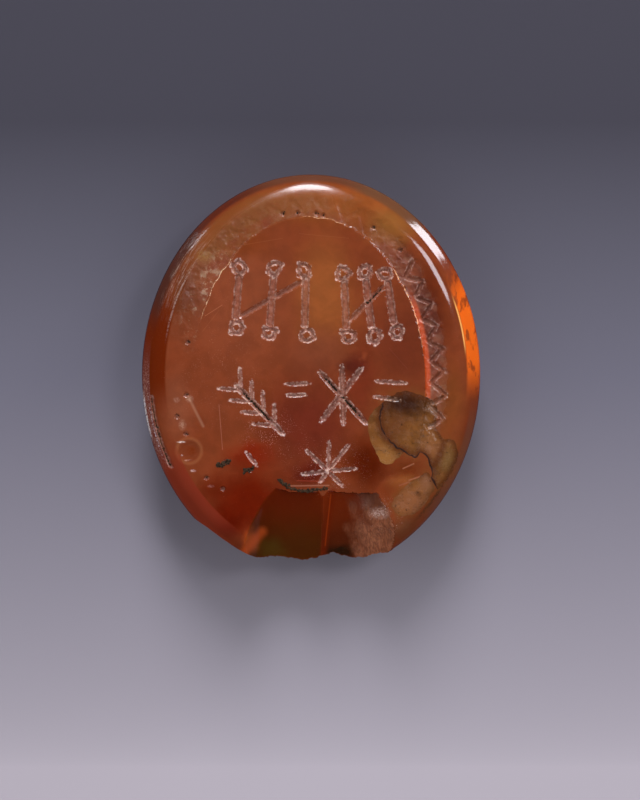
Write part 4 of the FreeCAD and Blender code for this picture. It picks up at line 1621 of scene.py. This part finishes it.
@dataclass(frozen=True)
class CarnelianFinish:
    """Polished, translucent carnelian with its clouds, frosted cuts and worn edges, and with painted glows,
    highlights, sheen and shade.
    """

    ground: str = "6f3622"
    tints: Tuple[Tint, ...] = (
        Tint((-3.2, 3.2), (4.2, 4.6), "773f2d", 0.9),
        Tint((0.6, 3.4), (1.8, 3.6), "874f2d", 0.8),
        Tint((0.3, 0.9), (2.0, 1.6), "6c3a2c", 0.7),
        Tint((3.9, 1.4), (2.4, 3.0), "5f2b1e", 0.85),
        Tint((-2.8, 5.6), (1.9, 1.1), "6c3419", 0.8),
        Tint((-0.2, -2.1), (3.0, 3.0), "5b231b", 0.9),
        Tint((2.1, -0.2), (0.9, 2.4), "5c1c15", 0.5),
        Tint((1.75, 0.35), (0.75, 0.8), "481a17", 0.8),
        Tint((2.15, 0.75), (0.26, 0.28), "80402a", 0.7),
        Tint((-4.0, -1.2), (2.2, 1.8), "6f3826", 0.8),
        Tint((-2.6, -3.4), (1.6, 0.9), "701c0a", 0.85),
        Tint((-2.6, -5.4), (2.5, 2.7), "5a1503", 1.0),
        Tint((-4.2, -4.9), (1.3, 0.9), "561403", 0.6),
        Tint((-3.5, -6.2), (1.1, 1.0), "521001", 1.0),
        Tint((-0.2, -4.2), (1.5, 0.9), "4f1610", 0.9),
        Tint((2.4, -3.8), (1.5, 1.7), "4c1603", 1.0),
        Tint((0.9, 7.3), (4.6, 1.4), "804824", 0.9),
        Tint((3.4, 6.3), (1.6, 1.2), "7e522c", 0.9),
        Tint((-5.3, 3.4), (1.2, 2.4), "5e301c", 0.9),
        Tint((5.9, -1.2), (1.0, 2.4), "6e3c20", 0.85),
        Tint((5.2, 3.0), (1.0, 2.6), "5a2414", 0.85),
        Tint((-5.6, -1.4), (0.9, 2.0), "784434", 0.85),
        Tint((4.1, -4.1), (1.1, 0.9), "5c2810", 0.8),
        Tint((3.95, -4.75), (1.0, 0.75), "8a5230", 0.7),
        Tint((3.5, -5.1), (1.2, 0.7), "6c3018", 0.7),
        Tint((4.0, -6.6), (0.9, 1.0), "66402e", 0.9),
        # Painted orange glow of light coming through near the foot.
        Tint((-2.3, -7.2), (0.55, 0.60), "a84c24", 0.8),
    )
    dust: Tuple[Tint, ...] = (
        Tint((-1.7, -2.6), (1.9, 1.5), "d8a090", 0.8),
        Tint((0.8, -3.9), (2.4, 1.5), "d8a090", 0.6),
        Tint((3.0, -6.0), (1.2, 1.1), "e8c4b4", 0.9),
        Tint((-3.6, 0.0), (3.0, 3.4), "b87c64", 0.5),
        Tint((-3.8, 4.2), (1.6, 1.6), "b87c64", 0.4),
    )
    streaks: Tuple[Streak, ...] = (
        Streak((-4.49, 2.46), (-3.77, 2.92), 0.035, "b87050", 0.7),
        Streak((-4.60, 1.80), (-3.90, 2.70), 0.025, "a06040", 0.5),
        Streak((-3.30, 5.40), (-1.20, 5.75), 0.025, "a06040", 0.5),
        Streak((-0.50, 5.95), (1.60, 5.75), 0.025, "a06040", 0.5),
        Streak((-3.90, -1.30), (-3.75, -3.20), 0.050, "a86850", 0.6),
        Streak((3.30, 1.10), (4.10, 0.20), 0.030, "80483c", 0.5),
        Streak((-0.60, -4.52), (0.50, -4.54), 0.06, "a0402c", 0.6),
        Streak((-0.85, -4.74), (0.75, -4.72), 0.10, "a87058", 0.6),
        Streak((0.92, -5.00), (0.52, -7.60), 0.50, "6b1e02", 0.8),
        Streak((0.84, -5.10), (0.60, -7.30), 0.09, "9c380c", 0.7),
        # Painted glow along the crease near the foot.
        Streak((-2.08, -6.70), (-2.78, -7.50), 0.70, "b44c1c", 0.8),
        Streak((3.90, -4.00), (4.35, -3.80), 0.10, "a4684c", 0.7),
        Streak((4.15, -4.50), (4.75, -4.30), 0.10, "a4684c", 0.7),
        Streak((3.75, -4.72), (4.15, -4.58), 0.10, "985c44", 0.6),
        Streak((-5.15, -1.06), (-4.57, -2.21), 0.20, "b08468", 0.35),
        Streak((3.42, -2.98), (3.80, -3.24), 0.05, "e0b8a0", 0.8),
    )
    bruises_and_glints: Tuple[Tint, ...] = (
        Tint((-5.15, -1.05), (0.22, 0.20), "b89078", 0.8),
        Tint((-5.70, -1.10), (0.20, 0.16), "a87c68", 0.7),
        Tint((-5.45, -2.15), (0.22, 0.30), "b08870", 0.7),
        # Painted glints round the hollow.
        Tint((-5.50, -2.88), (0.24, 0.05), "f0dcd0", 0.9, 0.4),
        Tint((-5.28, -3.66), (0.14, 0.05), "c89880", 0.7, 0.3),
        Tint((-5.00, -4.10), (0.16, 0.08), "e0bcb0", 0.8, 0.2),
        Tint((-5.08, -3.26), (0.30, 0.26), "702604", 0.9),
        Tint((-4.25, -4.75), (0.20, 0.08), "b07c70", 0.6),
        Tint((-4.55, 4.98), (0.50, 0.40), "98743c", 0.5),
        Tint((2.90, -5.90), (0.55, 0.34), "c8a494", 0.9),
        Tint((2.30, -5.50), (0.40, 0.40), "7c5444", 0.6),
    )
    # Painted highlights along the channel's inner edge.
    painted_edge_highlights: Tuple[Tint, ...] = (
        Tint((0.4, 6.35), (1.3, 0.6), "d8ac98", 0.8, 0.5),
        Tint((-4.1, 4.0), (1.3, 2.2), "d8bcac", 0.8, 0.5),
        Tint((4.2, 3.1), (1.3, 2.4), "ecbca4", 0.9, 0.5),
    )
    bands: Tuple[RimBand, ...] = (
        RimBand(-1.0, 0.60, (0.0, 0.0), (30.0, 30.0), "5c1d08", 0.45, soft=0.5),
        RimBand(-1.0, 0.38, (0.3, 8.4), (6.5, 2.0), "54342a", 0.9, soft=0.16),
        RimBand(-1.0, 0.34, (-3.9, 6.6), (3.2, 2.8), "48201a", 0.85, soft=0.14),
        RimBand(-1.0, 0.50, (3.2, 6.9), (2.6, 2.2), "5a3e30", 0.85, soft=0.16),
        RimBand(0.25, 1.60, (-3.3, 6.2), (3.6, 3.0), "704624", 0.5, soft=0.25),
        RimBand(-0.1, 1.08, (-6.6, 1.2), (1.5, 3.4), "5a1e05", 1.0, soft=0.12),
        RimBand(-1.0, 0.55, (-5.7, 4.3), (2.4, 3.2), "3e2422", 0.9, soft=0.25),
        # Painted sheen on the streaked upper-left bevel, and a painted highlight line along the face edge.
        RimBand(0.20, 1.05, (-5.3, 4.5), (2.4, 3.2), "98888c", 0.7, "streaked", 0.2, 0.3),
        RimBand(0.88, 0.98, (-5.7, 3.4), (1.6, 2.4), "988890", 0.45, "broken", 0.04),
        RimBand(-1.0, 0.36, (-6.9, -1.8), (1.6, 3.8), "5e2e2c", 0.85, soft=0.06),
        # Painted sheen, a painted highlight along the chipped left edge, and painted glints beside the crack.
        RimBand(-1.0, 0.36, (-6.9, -2.0), (1.6, 3.4), "968088", 0.5, "grainy", 0.06),
        RimBand(-1.0, 0.10, (-7.0, -1.8), (0.9, 1.25), "d6deff", 0.9, "broken", 0.05, 0.4),
        RimBand(0.21, 0.28, (-6.6, -2.3), (1.2, 2.0), "b8b8dc", 0.8, "grainy", 0.03),
        RimBand(0.0, 0.98, (-5.2, -5.4), (2.8, 3.0), "742b1f", 0.85, soft=0.07),
        RimBand(-1.0, 0.40, (6.0, -4.0), (2.4, 4.0), "5e3830", 0.9, soft=0.14),
        RimBand(0.26, 0.46, (5.4, -5.0), (1.7, 2.2), "30221e", 0.8, "broken", 0.07),
        # Painted orange glow of light coming through the right rim, with a painted bright line along its
        # inner edge.
        RimBand(-0.2, 0.64, (6.9, 2.1), (1.7, 3.4), "ce5f1c", 1.0, "blotched", 0.12),
        RimBand(0.56, 0.66, (6.3, 2.1), (0.9, 1.5), "e1a869", 0.9, soft=0.04),
    )
    warmth: Colour = (1.26, 1.14, 0.82)
    frost: str = "e6c4b4"
    honey: str = "764622"
    # Painted glow of light coming through the channel's inner wall.
    painted_wall_glow: str = "a8441c"
    halo: str = "74431f"
    cut_bed: str = "bc8068"
    fine_dust: str = "b87c60"
    honey_veins: str = "5a2c14"
    facets: str = "a4948c"
    # Painted shade in the right-hand channel's floor, and the colour of the painted sheen on its scallops.
    painted_channel_shade: str = "481c10"
    mauve: str = "8a5c50"
    hollow_ring: str = "98664c"
    olive_floor: Tuple[str, str] = ("421f02", "591a01")
    dark_floor: Tuple[str, str] = ("401503", "641f03")
    scar_foot: str = "1a1006"
    scar_olive: str = "46340f"
    painted_scar_glow: str = "c45c27"
    sugar: Tuple[str, str] = ("663824", "8c563f")
    sugar_shade: str = "48200e"
    broken_wall: str = "6e3018"
    hollow: Point = (-5.17, -3.26)
    hollow_radius: float = 0.53
    front_heights: Point = (2.3, 2.9)

    def material(self) -> bpy.types.Material:
        """Builds the material."""
        made, w = new_material("polished_carnelian")
        where = w.place()
        drifted = w.vector("ADD", where, w.vector("SCALE", w.sway(where, 1.6, 3.0, 0.6), 1.1 * MM))
        inset = w.attribute(Mark.INSET.value)
        run = w.math("MULTIPLY", w.attribute(Mark.RUN.value), 0.12)
        along = w.add("ShaderNodeCombineXYZ", {"X": run, "Y": inset}).outputs[0]
        front = w.rise(w.part(where, "Z"), *(height * MM for height in self.front_heights))
        streaked = w.both(w.rise(w.noise(along, 0.08 / MM, 5.0, 0.75), 0.46, 0.66), w.rise(inset, 1.2, 0.9),
                          w.soft_oval(where, (-5.6, 4.2), (2.6, 3.4), 0.3), front)
        reach = w.attribute(Mark.REACH.value)
        belt = w.both(w.rise(reach, -0.60, -0.45), w.rise(reach, 0.85, 0.45),
                      w.soft_oval(where, (-2.4, 5.4), (5.9, 5.8), 0.5, 0.75))
        channel = w.math("MAXIMUM", w.rise(w.attribute(Mark.CHANNEL.value), 0.02 * MM, 0.10 * MM), belt)
        colour = self.clouds(w, drifted)
        colour = self.bordered(w, where, colour, channel)
        colour = self.rim(w, where, colour, inset, streaked, front)
        colour = w.mix(1.0, self.scarred(w, where, drifted, colour), self.warmth, "MULTIPLY")
        stained = w.spots(where, 0.4, 3.0, 0.6, 0.35, 0.6, 0.2, 0.75)
        colour = w.mix(w.both(w.attribute(Mark.HALO.value), stained), colour, self.halo)
        for streak in self.streaks:
            colour = w.mix(w.near_line(where, streak), colour, streak.colour)
        cut = w.rise(w.attribute(Mark.CUT.value), 0.015 * MM, 0.08 * MM)
        cut = w.math("SUBTRACT", cut, w.soft_oval(where, self.hollow, (0.62, 0.62), 0.85), clamp=True)
        bed = w.spots(where, 0.14, 3.0, 0.6, 0.35, 0.65, 0.08, 0.36)
        colour = w.mix(w.both(cut, bed, w.rise(channel, 0.0, 1.0, 1.0, 0.35)), colour, self.cut_bed)
        # The bruises, and the painted glints round the hollow, laid on in grains.
        colour = w.tinted(colour, where, self.bruises_and_glints, w.spots(where, 0.09, 3.0, 0.7, 0.40, 0.62, 0.2, 1.0))
        grains = w.spots(where, 0.07, 3.0, 0.75, 0.40, 0.60, 0.45, 1.0)
        frost = w.both(w.rise(w.attribute(Mark.FROST.value), 0.06, 0.70, smooth=False), grains)
        colour = w.mix(w.both(frost, 0.92), colour, self.frost)
        colour = self.dusted(w, where, colour)
        worn = ((frost, 0.45), (cut, 0.28), (channel, 0.32), (streaked, 0.2),
                (w.attribute(Mark.ROUGH.value), 0.45))
        rough = w.plus(0.05, w.both(w.noise(where, 0.5, 4.0, 0.6), 0.08), *(w.both(*pair) for pair in worn))
        w.end({
            "Base Color": colour, "Roughness": rough, "IOR": REFRACTION, "Subsurface Weight": 0.15,
            "Subsurface Radius": (1.0, 0.32, 0.12), "Subsurface Scale": 0.6 * MM,
            "Normal": w.bump(self.relief(w, where, frost, channel, streaked), 0.7, 0.05),
        })
        return made

    def clouds(self, w: StoneWiring, where: Value) -> bpy.types.NodeSocket:
        """The stone's clouds, from the ground colour and every tint."""
        colour = w.tinted(self.ground, where, self.tints)
        mottle = w.spots(where, 0.9, 5.0, 0.6, 0.35, 0.65, 0.90, 1.08)
        return w.mix(1.0, colour, w.vector("SCALE", (1.0, 1.0, 1.0), mottle), "MULTIPLY")

    def dusted(self, w: StoneWiring, where: Value, colour: Value) -> bpy.types.NodeSocket:
        """Fine bright specks of bruising that gather in a few places."""
        fine = w.noise(where, 0.045, 2.0, 0.6)
        sparse = w.both(w.rise(fine, 0.68, 0.78), 0.25)
        colour = w.mix(sparse, colour, self.fine_dust)
        patchy = w.spots(where, 0.5, 2.0, 0.5, 0.35, 0.65)
        for zone in self.dust:
            share = w.both(w.soft_oval(where, zone.place, zone.radii, 0.2, zone.strength), patchy)
            colour = w.mix(w.both(share, w.rise(fine, 0.60, 0.70)), colour, zone.colour)
        return colour

    def bordered(self, w: StoneWiring, where: Value, colour: Value, channel: Value) -> bpy.types.NodeSocket:
        """The channel's lumps of honey and its frosted patches, with painted shade, sheen, glow and edge
        highlights.
        """
        reach = w.attribute(Mark.REACH.value)
        lumps = w.spots(where, 0.7, 4.0, 0.65, 0.42, 0.58)
        upper = w.soft_oval(where, (-1.0, 6.5), (6.2, 5.4), 0.5)
        colour = w.mix(w.both(channel, lumps, upper, 0.7), colour, self.honey)
        veins = w.spots(where, 0.28, 5.0, 0.7, 0.55, 0.68)
        colour = w.mix(w.both(channel, veins, 0.5), colour, self.honey_veins)
        patches = w.spots(w.vector("ADD", where, (0.01, 0.0, 0.0)), 0.34, 6.0, 0.8, 0.52, 0.60)
        left = w.both(w.soft_oval(where, (-4.5, 3.5), (2.4, 4.0), 0.4, 0.45), w.rise(reach, 0.40, 0.0))
        colour = w.mix(w.both(channel, patches, w.math("ADD", left, 0.12)), colour, self.facets)
        # Painted shade in the right-hand channel's floor, with painted sheen on its scallops.
        mauve = w.soft_oval(where, (4.6, 2.6), (1.8, 4.0), 0.4)
        sheen_scallops = w.spots(where, 0.45, 3.0, 0.6, 0.46, 0.60)
        painted_shade_spots = w.spots(where, 0.5, 4.0, 0.65, 0.40, 0.60, 0.10, 0.55)
        colour = w.mix(w.both(channel, mauve, painted_shade_spots), colour, self.painted_channel_shade)
        colour = w.mix(w.both(channel, mauve, sheen_scallops, 0.28), colour, self.mauve)
        # Painted glow on the channel's inner wall where light comes through at the right.
        wall = w.both(w.rise(reach, -0.58, -0.52), w.rise(reach, -0.26, -0.40))
        lit = w.soft_oval(where, (4.9, 0.9), (1.4, 3.6), 0.5)
        colour = w.mix(w.both(wall, lit, 0.95), colour, self.painted_wall_glow)
        # Painted highlights along the channel's inner edge.
        swayed = w.math("ADD", reach, w.rise(w.noise(where, 0.5, 3.0, 0.6), 0.3, 0.7, 0.50, 0.60, False))
        broken = w.spots(where, 0.22, 3.0, 0.7, 0.42, 0.56, 0.15, 1.0)
        line = w.both(w.rise(w.math("ABSOLUTE", swayed), 0.026, 0.004), broken)
        colour = w.tinted(colour, where, self.painted_edge_highlights, line)
        hollow = (self.hollow[0] * MM, self.hollow[1] * MM, 0.0)
        from_hollow = w.vector("DISTANCE", w.vector("MULTIPLY", where, FLAT), hollow)
        from_ring = w.math("ABSOLUTE", w.math("SUBTRACT", from_hollow, self.hollow_radius * MM))
        ring = w.rise(from_ring, 0.13 * MM, 0.0, 0.0, 0.28)
        return w.mix(ring, colour, self.hollow_ring)

    def rim(self, w: StoneWiring, where: Value, colour: Value, inset: Value, streaked: Value,
            front: Value) -> bpy.types.NodeSocket:
        """The rim's bands: streaked and dark at the left, with painted sheen and highlights, and a painted
        orange glow of light coming through at the right.
        """
        fine = w.noise(where, 0.07, 4.0, 0.75)
        stretched = w.noise(w.vector("MULTIPLY", where, (1.6, 0.6, 0.4)), 0.5, 3.0, 0.6)
        textures = {
            "streaked": w.both(streaked, w.rise(fine, 0.40, 0.60, 0.3, 1.0)),
            "grainy": w.rise(fine, 0.46, 0.62),
            "broken": w.spots(where, 0.09, 2.0, 0.6, 0.42, 0.50, 0.1, 1.0),
            "blotched": w.rise(stretched, 0.38, 0.50, 0.25, 1.0),
        }
        for band in self.bands:
            share = w.both(w.rise(inset, band.start, band.start + band.soft),
                           w.rise(inset, band.end, band.end - band.soft),
                           w.soft_oval(where, band.place, band.radii, band.core, band.strength))
            if band.start > 0 or band.texture in textures:
                share = w.both(share, textures.get(band.texture, 1.0), front)
            colour = w.mix(share, colour, band.colour)
        return colour

    def scarred(self, w: StoneWiring, where: Value, drifted: Value, colour: Value) -> bpy.types.NodeSocket:
        """The olive and dark floors of the flake scars, the sugary break beside them, and a painted glow near
        the foot.
        """
        scar = w.attribute(Mark.SCAR.value)
        first = w.both(w.rise(scar, 0.1, 0.6), w.rise(scar, 1.9, 1.4))
        high = w.rise(w.part(drifted, "Y"), -7.4 * MM, -5.1 * MM)
        olive = w.mix(high, *self.olive_floor)
        dark = w.mix(high, *self.dark_floor)
        colour = w.mix(w.both(first, 0.95), colour, olive)
        colour = w.mix(w.both(w.rise(scar, 1.4, 1.9), 0.9), colour, dark)
        foot = w.soft_oval(drifted, (1.2, -7.6), (1.0, 0.55), 0.2, 0.85)
        colour = w.mix(foot, colour, self.scar_foot)
        colour = w.mix(w.soft_oval(drifted, (-1.7, -7.4), (0.9, 0.8), 0.2, 0.7), colour, self.scar_olive)
        # Painted glow of light coming through near the foot.
        glow = w.soft_oval(drifted, (-2.55, -7.1), (0.50, 0.7), 0.1, 0.35)
        colour = w.mix(glow, colour, self.painted_scar_glow)
        rough = w.attribute(Mark.ROUGH.value)
        fibres = w.spots(w.vector("MULTIPLY", where, (1.0, 0.22, 1.0)), 0.08, 4.0, 0.7, 0.36, 0.64)
        sugar = w.mix(fibres, *self.sugar)
        sugar = w.mix(w.soft_oval(drifted, (2.3, -5.2), (1.6, 0.9), 0.3, 0.8), sugar, self.sugar_shade)
        colour = w.mix(w.both(rough, 0.95), colour, sugar)
        wall = w.rise(w.attribute(BREAK_WALL), 0.2, 0.9)
        return w.mix(w.both(wall, 0.6), colour, self.broken_wall)

    def relief(self, w: StoneWiring, where: Value, frost: Value, channel: Value,
               streaked: Value) -> bpy.types.NodeSocket:
        """The small relief: polish ripples, scratches, and the grain of what is cut or broken."""
        ripples = w.noise(where, 1.4, 2.0, 0.5)
        scratch = w.noise(w.vector("MULTIPLY", where, (1.0, 7.0, 1.0)), 0.5, 2.0, 0.6)
        grain = w.noise(where, 0.06, 3.0, 0.7)
        lumps = w.noise(where, 0.30, 3.0, 0.6)
        rough = w.plus(w.both(frost, 0.25), w.both(channel, 0.04),
                       w.both(w.rise(w.attribute(BREAK_WALL), 0.1, 0.8), 0.35),
                       w.both(w.attribute(Mark.ROUGH.value), 0.18))
        return w.plus(w.both(ripples, 0.10), w.both(scratch, 0.02), w.both(grain, w.plus(rough, 0.006)),
                      w.both(lumps, channel, 0.25), w.both(streaked, 0.04))


@dataclass(frozen=True)
class PaleFinish:
    """Opaque tan mineral with brown mottling, stained by the stone towards its edges."""

    name: str
    light: str = "7e4e24"
    middle: str = "68401c"
    dark: str = "3c200e"
    stain: str = "54280f"
    specks: str = "2e1a10"
    cut: str = "b48870"
    frost: str = "d4ac90"
    staining: float = 0.75
    lump: float = 0.8
    tints: Tuple[Tint, ...] = (
        Tint((3.9, -1.2), (1.7, 1.1), "3a1c0d", 1.0),
        Tint((3.5, -2.2), (0.9, 0.9), "6a3c1e", 0.7),
        Tint((5.2, -3.2), (0.9, 0.7), "8a5834", 0.8),
        Tint((3.15, -3.5), (0.7, 0.8), "946230", 0.95),
        Tint((5.78, -3.6), (0.5, 0.8), "79552b", 0.95),
        Tint((4.2, -5.5), (1.5, 1.1), "8c5634", 0.8),
        Tint((4.9, -4.6), (0.5, 0.5), "84563a", 0.8),
    )

    def material(self) -> bpy.types.Material:
        """Builds the material."""
        made, w = new_material(self.name)
        where = w.place()
        lumps = w.spots(where, self.lump, 5.0, 0.62, 0.42, 0.62)
        colour = w.mix(lumps, self.middle, self.light)
        colour = w.tinted(colour, where, self.tints)
        veins = w.spots(where, 0.7, 6.0, 0.7, 0.54, 0.70)
        colour = w.mix(w.both(veins, 0.5), colour, self.dark)
        specks = w.spots(where, 0.11, 2.0, 0.5, 0.66, 0.73)
        colour = w.mix(w.both(specks, 0.8), colour, self.specks)
        clear = w.soft_oval(where, (4.2, -5.5), (1.8, 1.5), 0.6, 0.65)
        edge = w.both(w.rise(w.attribute(Mark.HALO.value), 0.15, 0.85, 0.0, self.staining),
                      w.math("SUBTRACT", 1.0, clear))
        colour = w.mix(edge, colour, self.stain)
        cut = w.rise(w.attribute(Mark.CUT.value), 0.015 * MM, 0.08 * MM, 0.0, 0.3)
        colour = w.mix(cut, colour, self.cut)
        frost = w.rise(w.attribute(Mark.FROST.value), 0.10, 0.85, 0.0, 0.55)
        colour = w.mix(frost, colour, self.frost)
        rough = w.spots(where, 0.3, 4.0, 0.6, 0.3, 0.7, 0.14, 0.34)
        w.end({
            "Base Color": colour, "Roughness": w.math("ADD", rough, w.both(frost, 0.3)), "IOR": REFRACTION,
            "Subsurface Weight": 0.12, "Subsurface Radius": (1.0, 0.6, 0.25), "Subsurface Scale": 0.4 * MM,
            "Normal": w.bump(w.noise(where, 0.14, 4.0, 0.6), 0.4, 0.03),
        })
        return made


@dataclass(frozen=True)
class DirtFinish:
    """Matte burial dirt, dark brown to grey."""

    name: str = "packed_dirt"
    dark: str = "1c120a"
    light: str = "4a3826"
    roughness: float = 0.85

    def material(self) -> bpy.types.Material:
        """Builds the material."""
        made, w = new_material(self.name)
        where = w.place()
        grains = w.spots(where, 0.07, 4.0, 0.7, 0.35, 0.68)
        w.end({
            "Base Color": w.mix(grains, self.dark, self.light),
            "Roughness": w.rise(grains, 0.0, 1.0, self.roughness - 0.15, self.roughness),
            "Specular IOR Level": 0.15,
            "Normal": w.bump(w.noise(where, 0.05, 3.0, 0.7), 0.8, 0.03),
        })
        return made


@dataclass(frozen=True)
class Softbox:
    """One soft lamp, by the direction that it shines from and the angles that it fills."""

    name: str
    azimuth_deg: float
    elevation_deg: float
    width_deg: float
    height_deg: float
    radiance: float
    mirrored: bool = True


@dataclass(frozen=True)
class Studio:
    """The floor, the lamps and the camera."""

    softboxes: Tuple[Softbox, ...] = (
        Softbox("top_box", 92.0, 32.0, 17.0, 30.0, 14.0),
        Softbox("top_halo", 91.0, 35.0, 24.0, 54.0, 1.6),
        Softbox("right_high_box", 33.0, 60.5, 11.0, 20.0, 8.0),
        Softbox("right_low_box", 40.0, 10.0, 16.0, 15.0, 13.0),
        Softbox("left_low_box", 139.0, 12.0, 10.0, 4.0, 11.0),
        Softbox("left_fill", 185.0, 45.0, 60.0, 50.0, 0.75, False),
        Softbox("foot_fill", 270.0, 45.0, 70.0, 46.0, 0.85, False),
        Softbox("right_fill", 0.0, 40.0, 60.0, 46.0, 0.5, False),
    )
    lamp_distance: float = 0.30
    lamp_colour: Colour = (0.96, 0.94, 1.0)
    room_colour: Colour = (0.80, 0.82, 0.90)
    world_level: float = 0.14
    mirror_level: float = 0.03
    camera_height: float = 0.1412
    camera_x: float = 0.38
    camera_y: float = -1.10
    lens: float = 150.0
    floor_half: float = 0.9
    paper_low: Tuple[str, str] = ("b3adb4", "6a6975")
    paper_high: str = "42414a"
    paper_mirrored: str = "2a2024"
    floor_height: float = -0.04
    gem_height: float = 3.6

    def lamps(self) -> None:
        """Hangs every softbox so that it faces the gem."""
        for box in self.softboxes:
            azimuth = math.radians(box.azimuth_deg)
            elevation = math.radians(box.elevation_deg)
            toward = Vector((math.cos(azimuth) * math.cos(elevation), math.sin(azimuth) * math.cos(elevation),
                             math.sin(elevation)))
            data = bpy.data.lights.new(box.name, "AREA")
            data.shape = "ELLIPSE" if box.mirrored else "RECTANGLE"
            data.size = 2 * self.lamp_distance * math.tan(math.radians(box.width_deg) / 2)
            data.size_y = 2 * self.lamp_distance * math.tan(math.radians(box.height_deg) / 2)
            data.energy = box.radiance * math.pi * data.size * data.size_y
            data.color = self.lamp_colour
            lamp = bpy.data.objects.new(box.name, data)
            bpy.context.scene.collection.objects.link(lamp)
            lamp.location = toward * self.lamp_distance
            lamp.rotation_euler = (-toward).to_track_quat("-Z", "Y").to_euler()
            lamp.visible_camera = False
            lamp.visible_glossy = box.mirrored

    def world(self) -> None:
        """Fills the room with a little even light, which polished faces mirror only faintly."""
        world = bpy.data.worlds.new("studio")
        world.use_nodes = True
        w = Wiring(world.node_tree)
        background = world.node_tree.nodes["Background"]
        w.feed(background.inputs["Color"], self.room_colour)
        mirrored = w.add("ShaderNodeLightPath").outputs["Is Glossy Ray"]
        level = w.rise(mirrored, 0.0, 1.0, self.world_level, self.mirror_level, False)
        w.feed(background.inputs["Strength"], level)
        bpy.context.scene.world = world

    def floor(self) -> bpy.types.Object:
        """The floor that the gem lies on, darker towards the top of the picture."""
        half = self.floor_half
        under = self.floor_height * MM
        corners = [(-half, -half, under), (half, -half, under), (half, half, under), (-half, half, under)]
        mesh = bpy.data.meshes.new("floor")
        mesh.from_pydata(corners, [], [(0, 1, 2, 3)])
        made, w = new_material("floor_paper")
        across = w.part(w.place(), "Y")
        high = w.rise(across, 0.0, 11.0 * MM, smooth=False)
        low = w.math("POWER", w.rise(across, -17.0 * MM, 0.0, smooth=False), 0.65)
        paper = w.mix(high, w.mix(low, *self.paper_low), self.paper_high)
        # Painted reflection: in the gem's reflections the paper shows darker than it is.
        mirrored = w.add("ShaderNodeLightPath").outputs["Is Glossy Ray"]
        w.end({"Base Color": w.mix(w.both(mirrored, 0.8), paper, self.paper_mirrored), "Roughness": 0.9,
               "Specular IOR Level": 0.2})
        mesh.materials.append(made)
        floor = new_object("floor", mesh)
        return floor

    def camera(self) -> None:
        """Looks straight down at the gem, as the photograph does, and shows colours as they are."""
        bpy.context.scene.view_settings.view_transform = "Standard"
        data = bpy.data.cameras.new("camera")
        data.lens = self.lens
        data.clip_start = 0.005
        data.clip_end = 5.0
        camera = bpy.data.objects.new("camera", data)
        bpy.context.scene.collection.objects.link(camera)
        camera.location = (self.camera_x * MM, self.camera_y * MM, self.gem_height * MM + self.camera_height)
        bpy.context.scene.camera = camera


def part_of(stroke: Tuple[Point, Point], start: float, end: float) -> Tuple[Point, Point]:
    """The stretch of a stroke between two shares of its length."""
    (x0, y0), (x1, y1) = stroke
    return (x0 + (x1 - x0) * start, y0 + (y1 - y0) * start), (x0 + (x1 - x0) * end, y0 + (y1 - y0) * end)


def put(piece: bpy.types.Object, material: bpy.types.Material, slot: str, *nodes: str) -> None:
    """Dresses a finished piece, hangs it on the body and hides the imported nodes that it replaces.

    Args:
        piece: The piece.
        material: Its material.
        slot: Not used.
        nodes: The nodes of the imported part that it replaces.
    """
    piece.data.materials.clear()
    piece.data.materials.append(material)
    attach(piece, BODY)
    if nodes:
        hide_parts(*nodes)
    log.info("%s: %d points, %d faces", piece.name, len(piece.data.vertices), len(piece.data.polygons))


def main() -> None:
    """Builds every piece and the studio."""
    logging.basicConfig(level=logging.INFO, format="%(name)s: %(message)s", stream=sys.stdout)
    studio = Studio()
    studio.camera()
    studio.lamps()
    studio.world()
    studio.floor()
    carnelian = CarnelianFinish().material()
    pale = PaleFinish("tan_mineral").material()
    seam = DirtFinish("dark_seam_mineral", "180a08", "3c2018", 0.6).material()
    dirt = DirtFinish().material()
    stone = EngravedStone()
    stone.read_sheet(stone.sheet(carnelian))
    put(stone.stone(), carnelian, "carnelian", "carnelian_stone")
    for name, region, node in (
        ("tan_main_body", Region.MAIN_BODY, "pale_main_body"),
        ("tan_left_lobe", Region.LEFT_LOBE, "pale_left_lobe"),
        ("tan_right_lobe", Region.RIGHT_LOBE, "pale_right_lobe"),
        ("tan_lower_patch", Region.LOWER_PATCH, "pale_lower_patch"),
    ):
        put(stone.body(name, region), pale, "pale_mineral", node)
    put(stone.body("seam_vein", Region.SEAM), seam, "seam", "dark_seam")
    wear = stone.wear
    signs = stone.signs
    packing = DirtPacking()
    fills = [
        DirtFill("rim_crack_fill", ("rim_crack_dirt",), (tuple(map(tuple, wear.crack_line(stone.blank))),),
                 crumb=0.05, spacing=0.028, spread=0.018, seed=1),
        DirtFill("ledge_fill", ("ledge_dirt",), (wear.ledge_dirt, wear.ledge_dirt[:3]),
                 crumb=0.055, spacing=0.03, spread=0.03, seed=2),
        DirtFill("stem_fill", ("branch_stem_dirt",), (part_of(signs.branch_stem, 0.16, 0.72),),
                 crumb=0.05, spacing=0.03, seed=3),
        DirtFill("crossed_fill", ("crossed_stroke_dirt",),
                 (part_of(signs.crossed[0], 0.10, 0.34), part_of(signs.crossed[0], 0.46, 0.86)),
                 crumb=0.05, spacing=0.03, seed=4),
        DirtFill("slash_fill", ("slash_dirt",), (part_of(signs.tallies[1].slash, 0.51, 0.92),),
                 crumb=0.04, spacing=0.03, seed=5),
        DirtFill("clod_fills", ("clod_dirt_1", "clod_dirt_2"), wear.clod_lines,
                 crumb=0.07, spacing=0.045, spread=0.05, crowd=3, seed=6),
        DirtFill("pit_fills", tuple(f"pit_dirt_{k}" for k in range(1, 13)),
                 tuple(((x, y), (x + 0.08, y + 0.02)) for x, y in wear.pits),
                 crumb=0.036, spacing=0.05, spread=0.04, crowd=4, seed=7),
    ]
    for fill in fills:
        put(fill.build(packing, stone.places, dirt), dirt, "dirt", *fill.nodes)


if __name__ == "__main__":
    main()
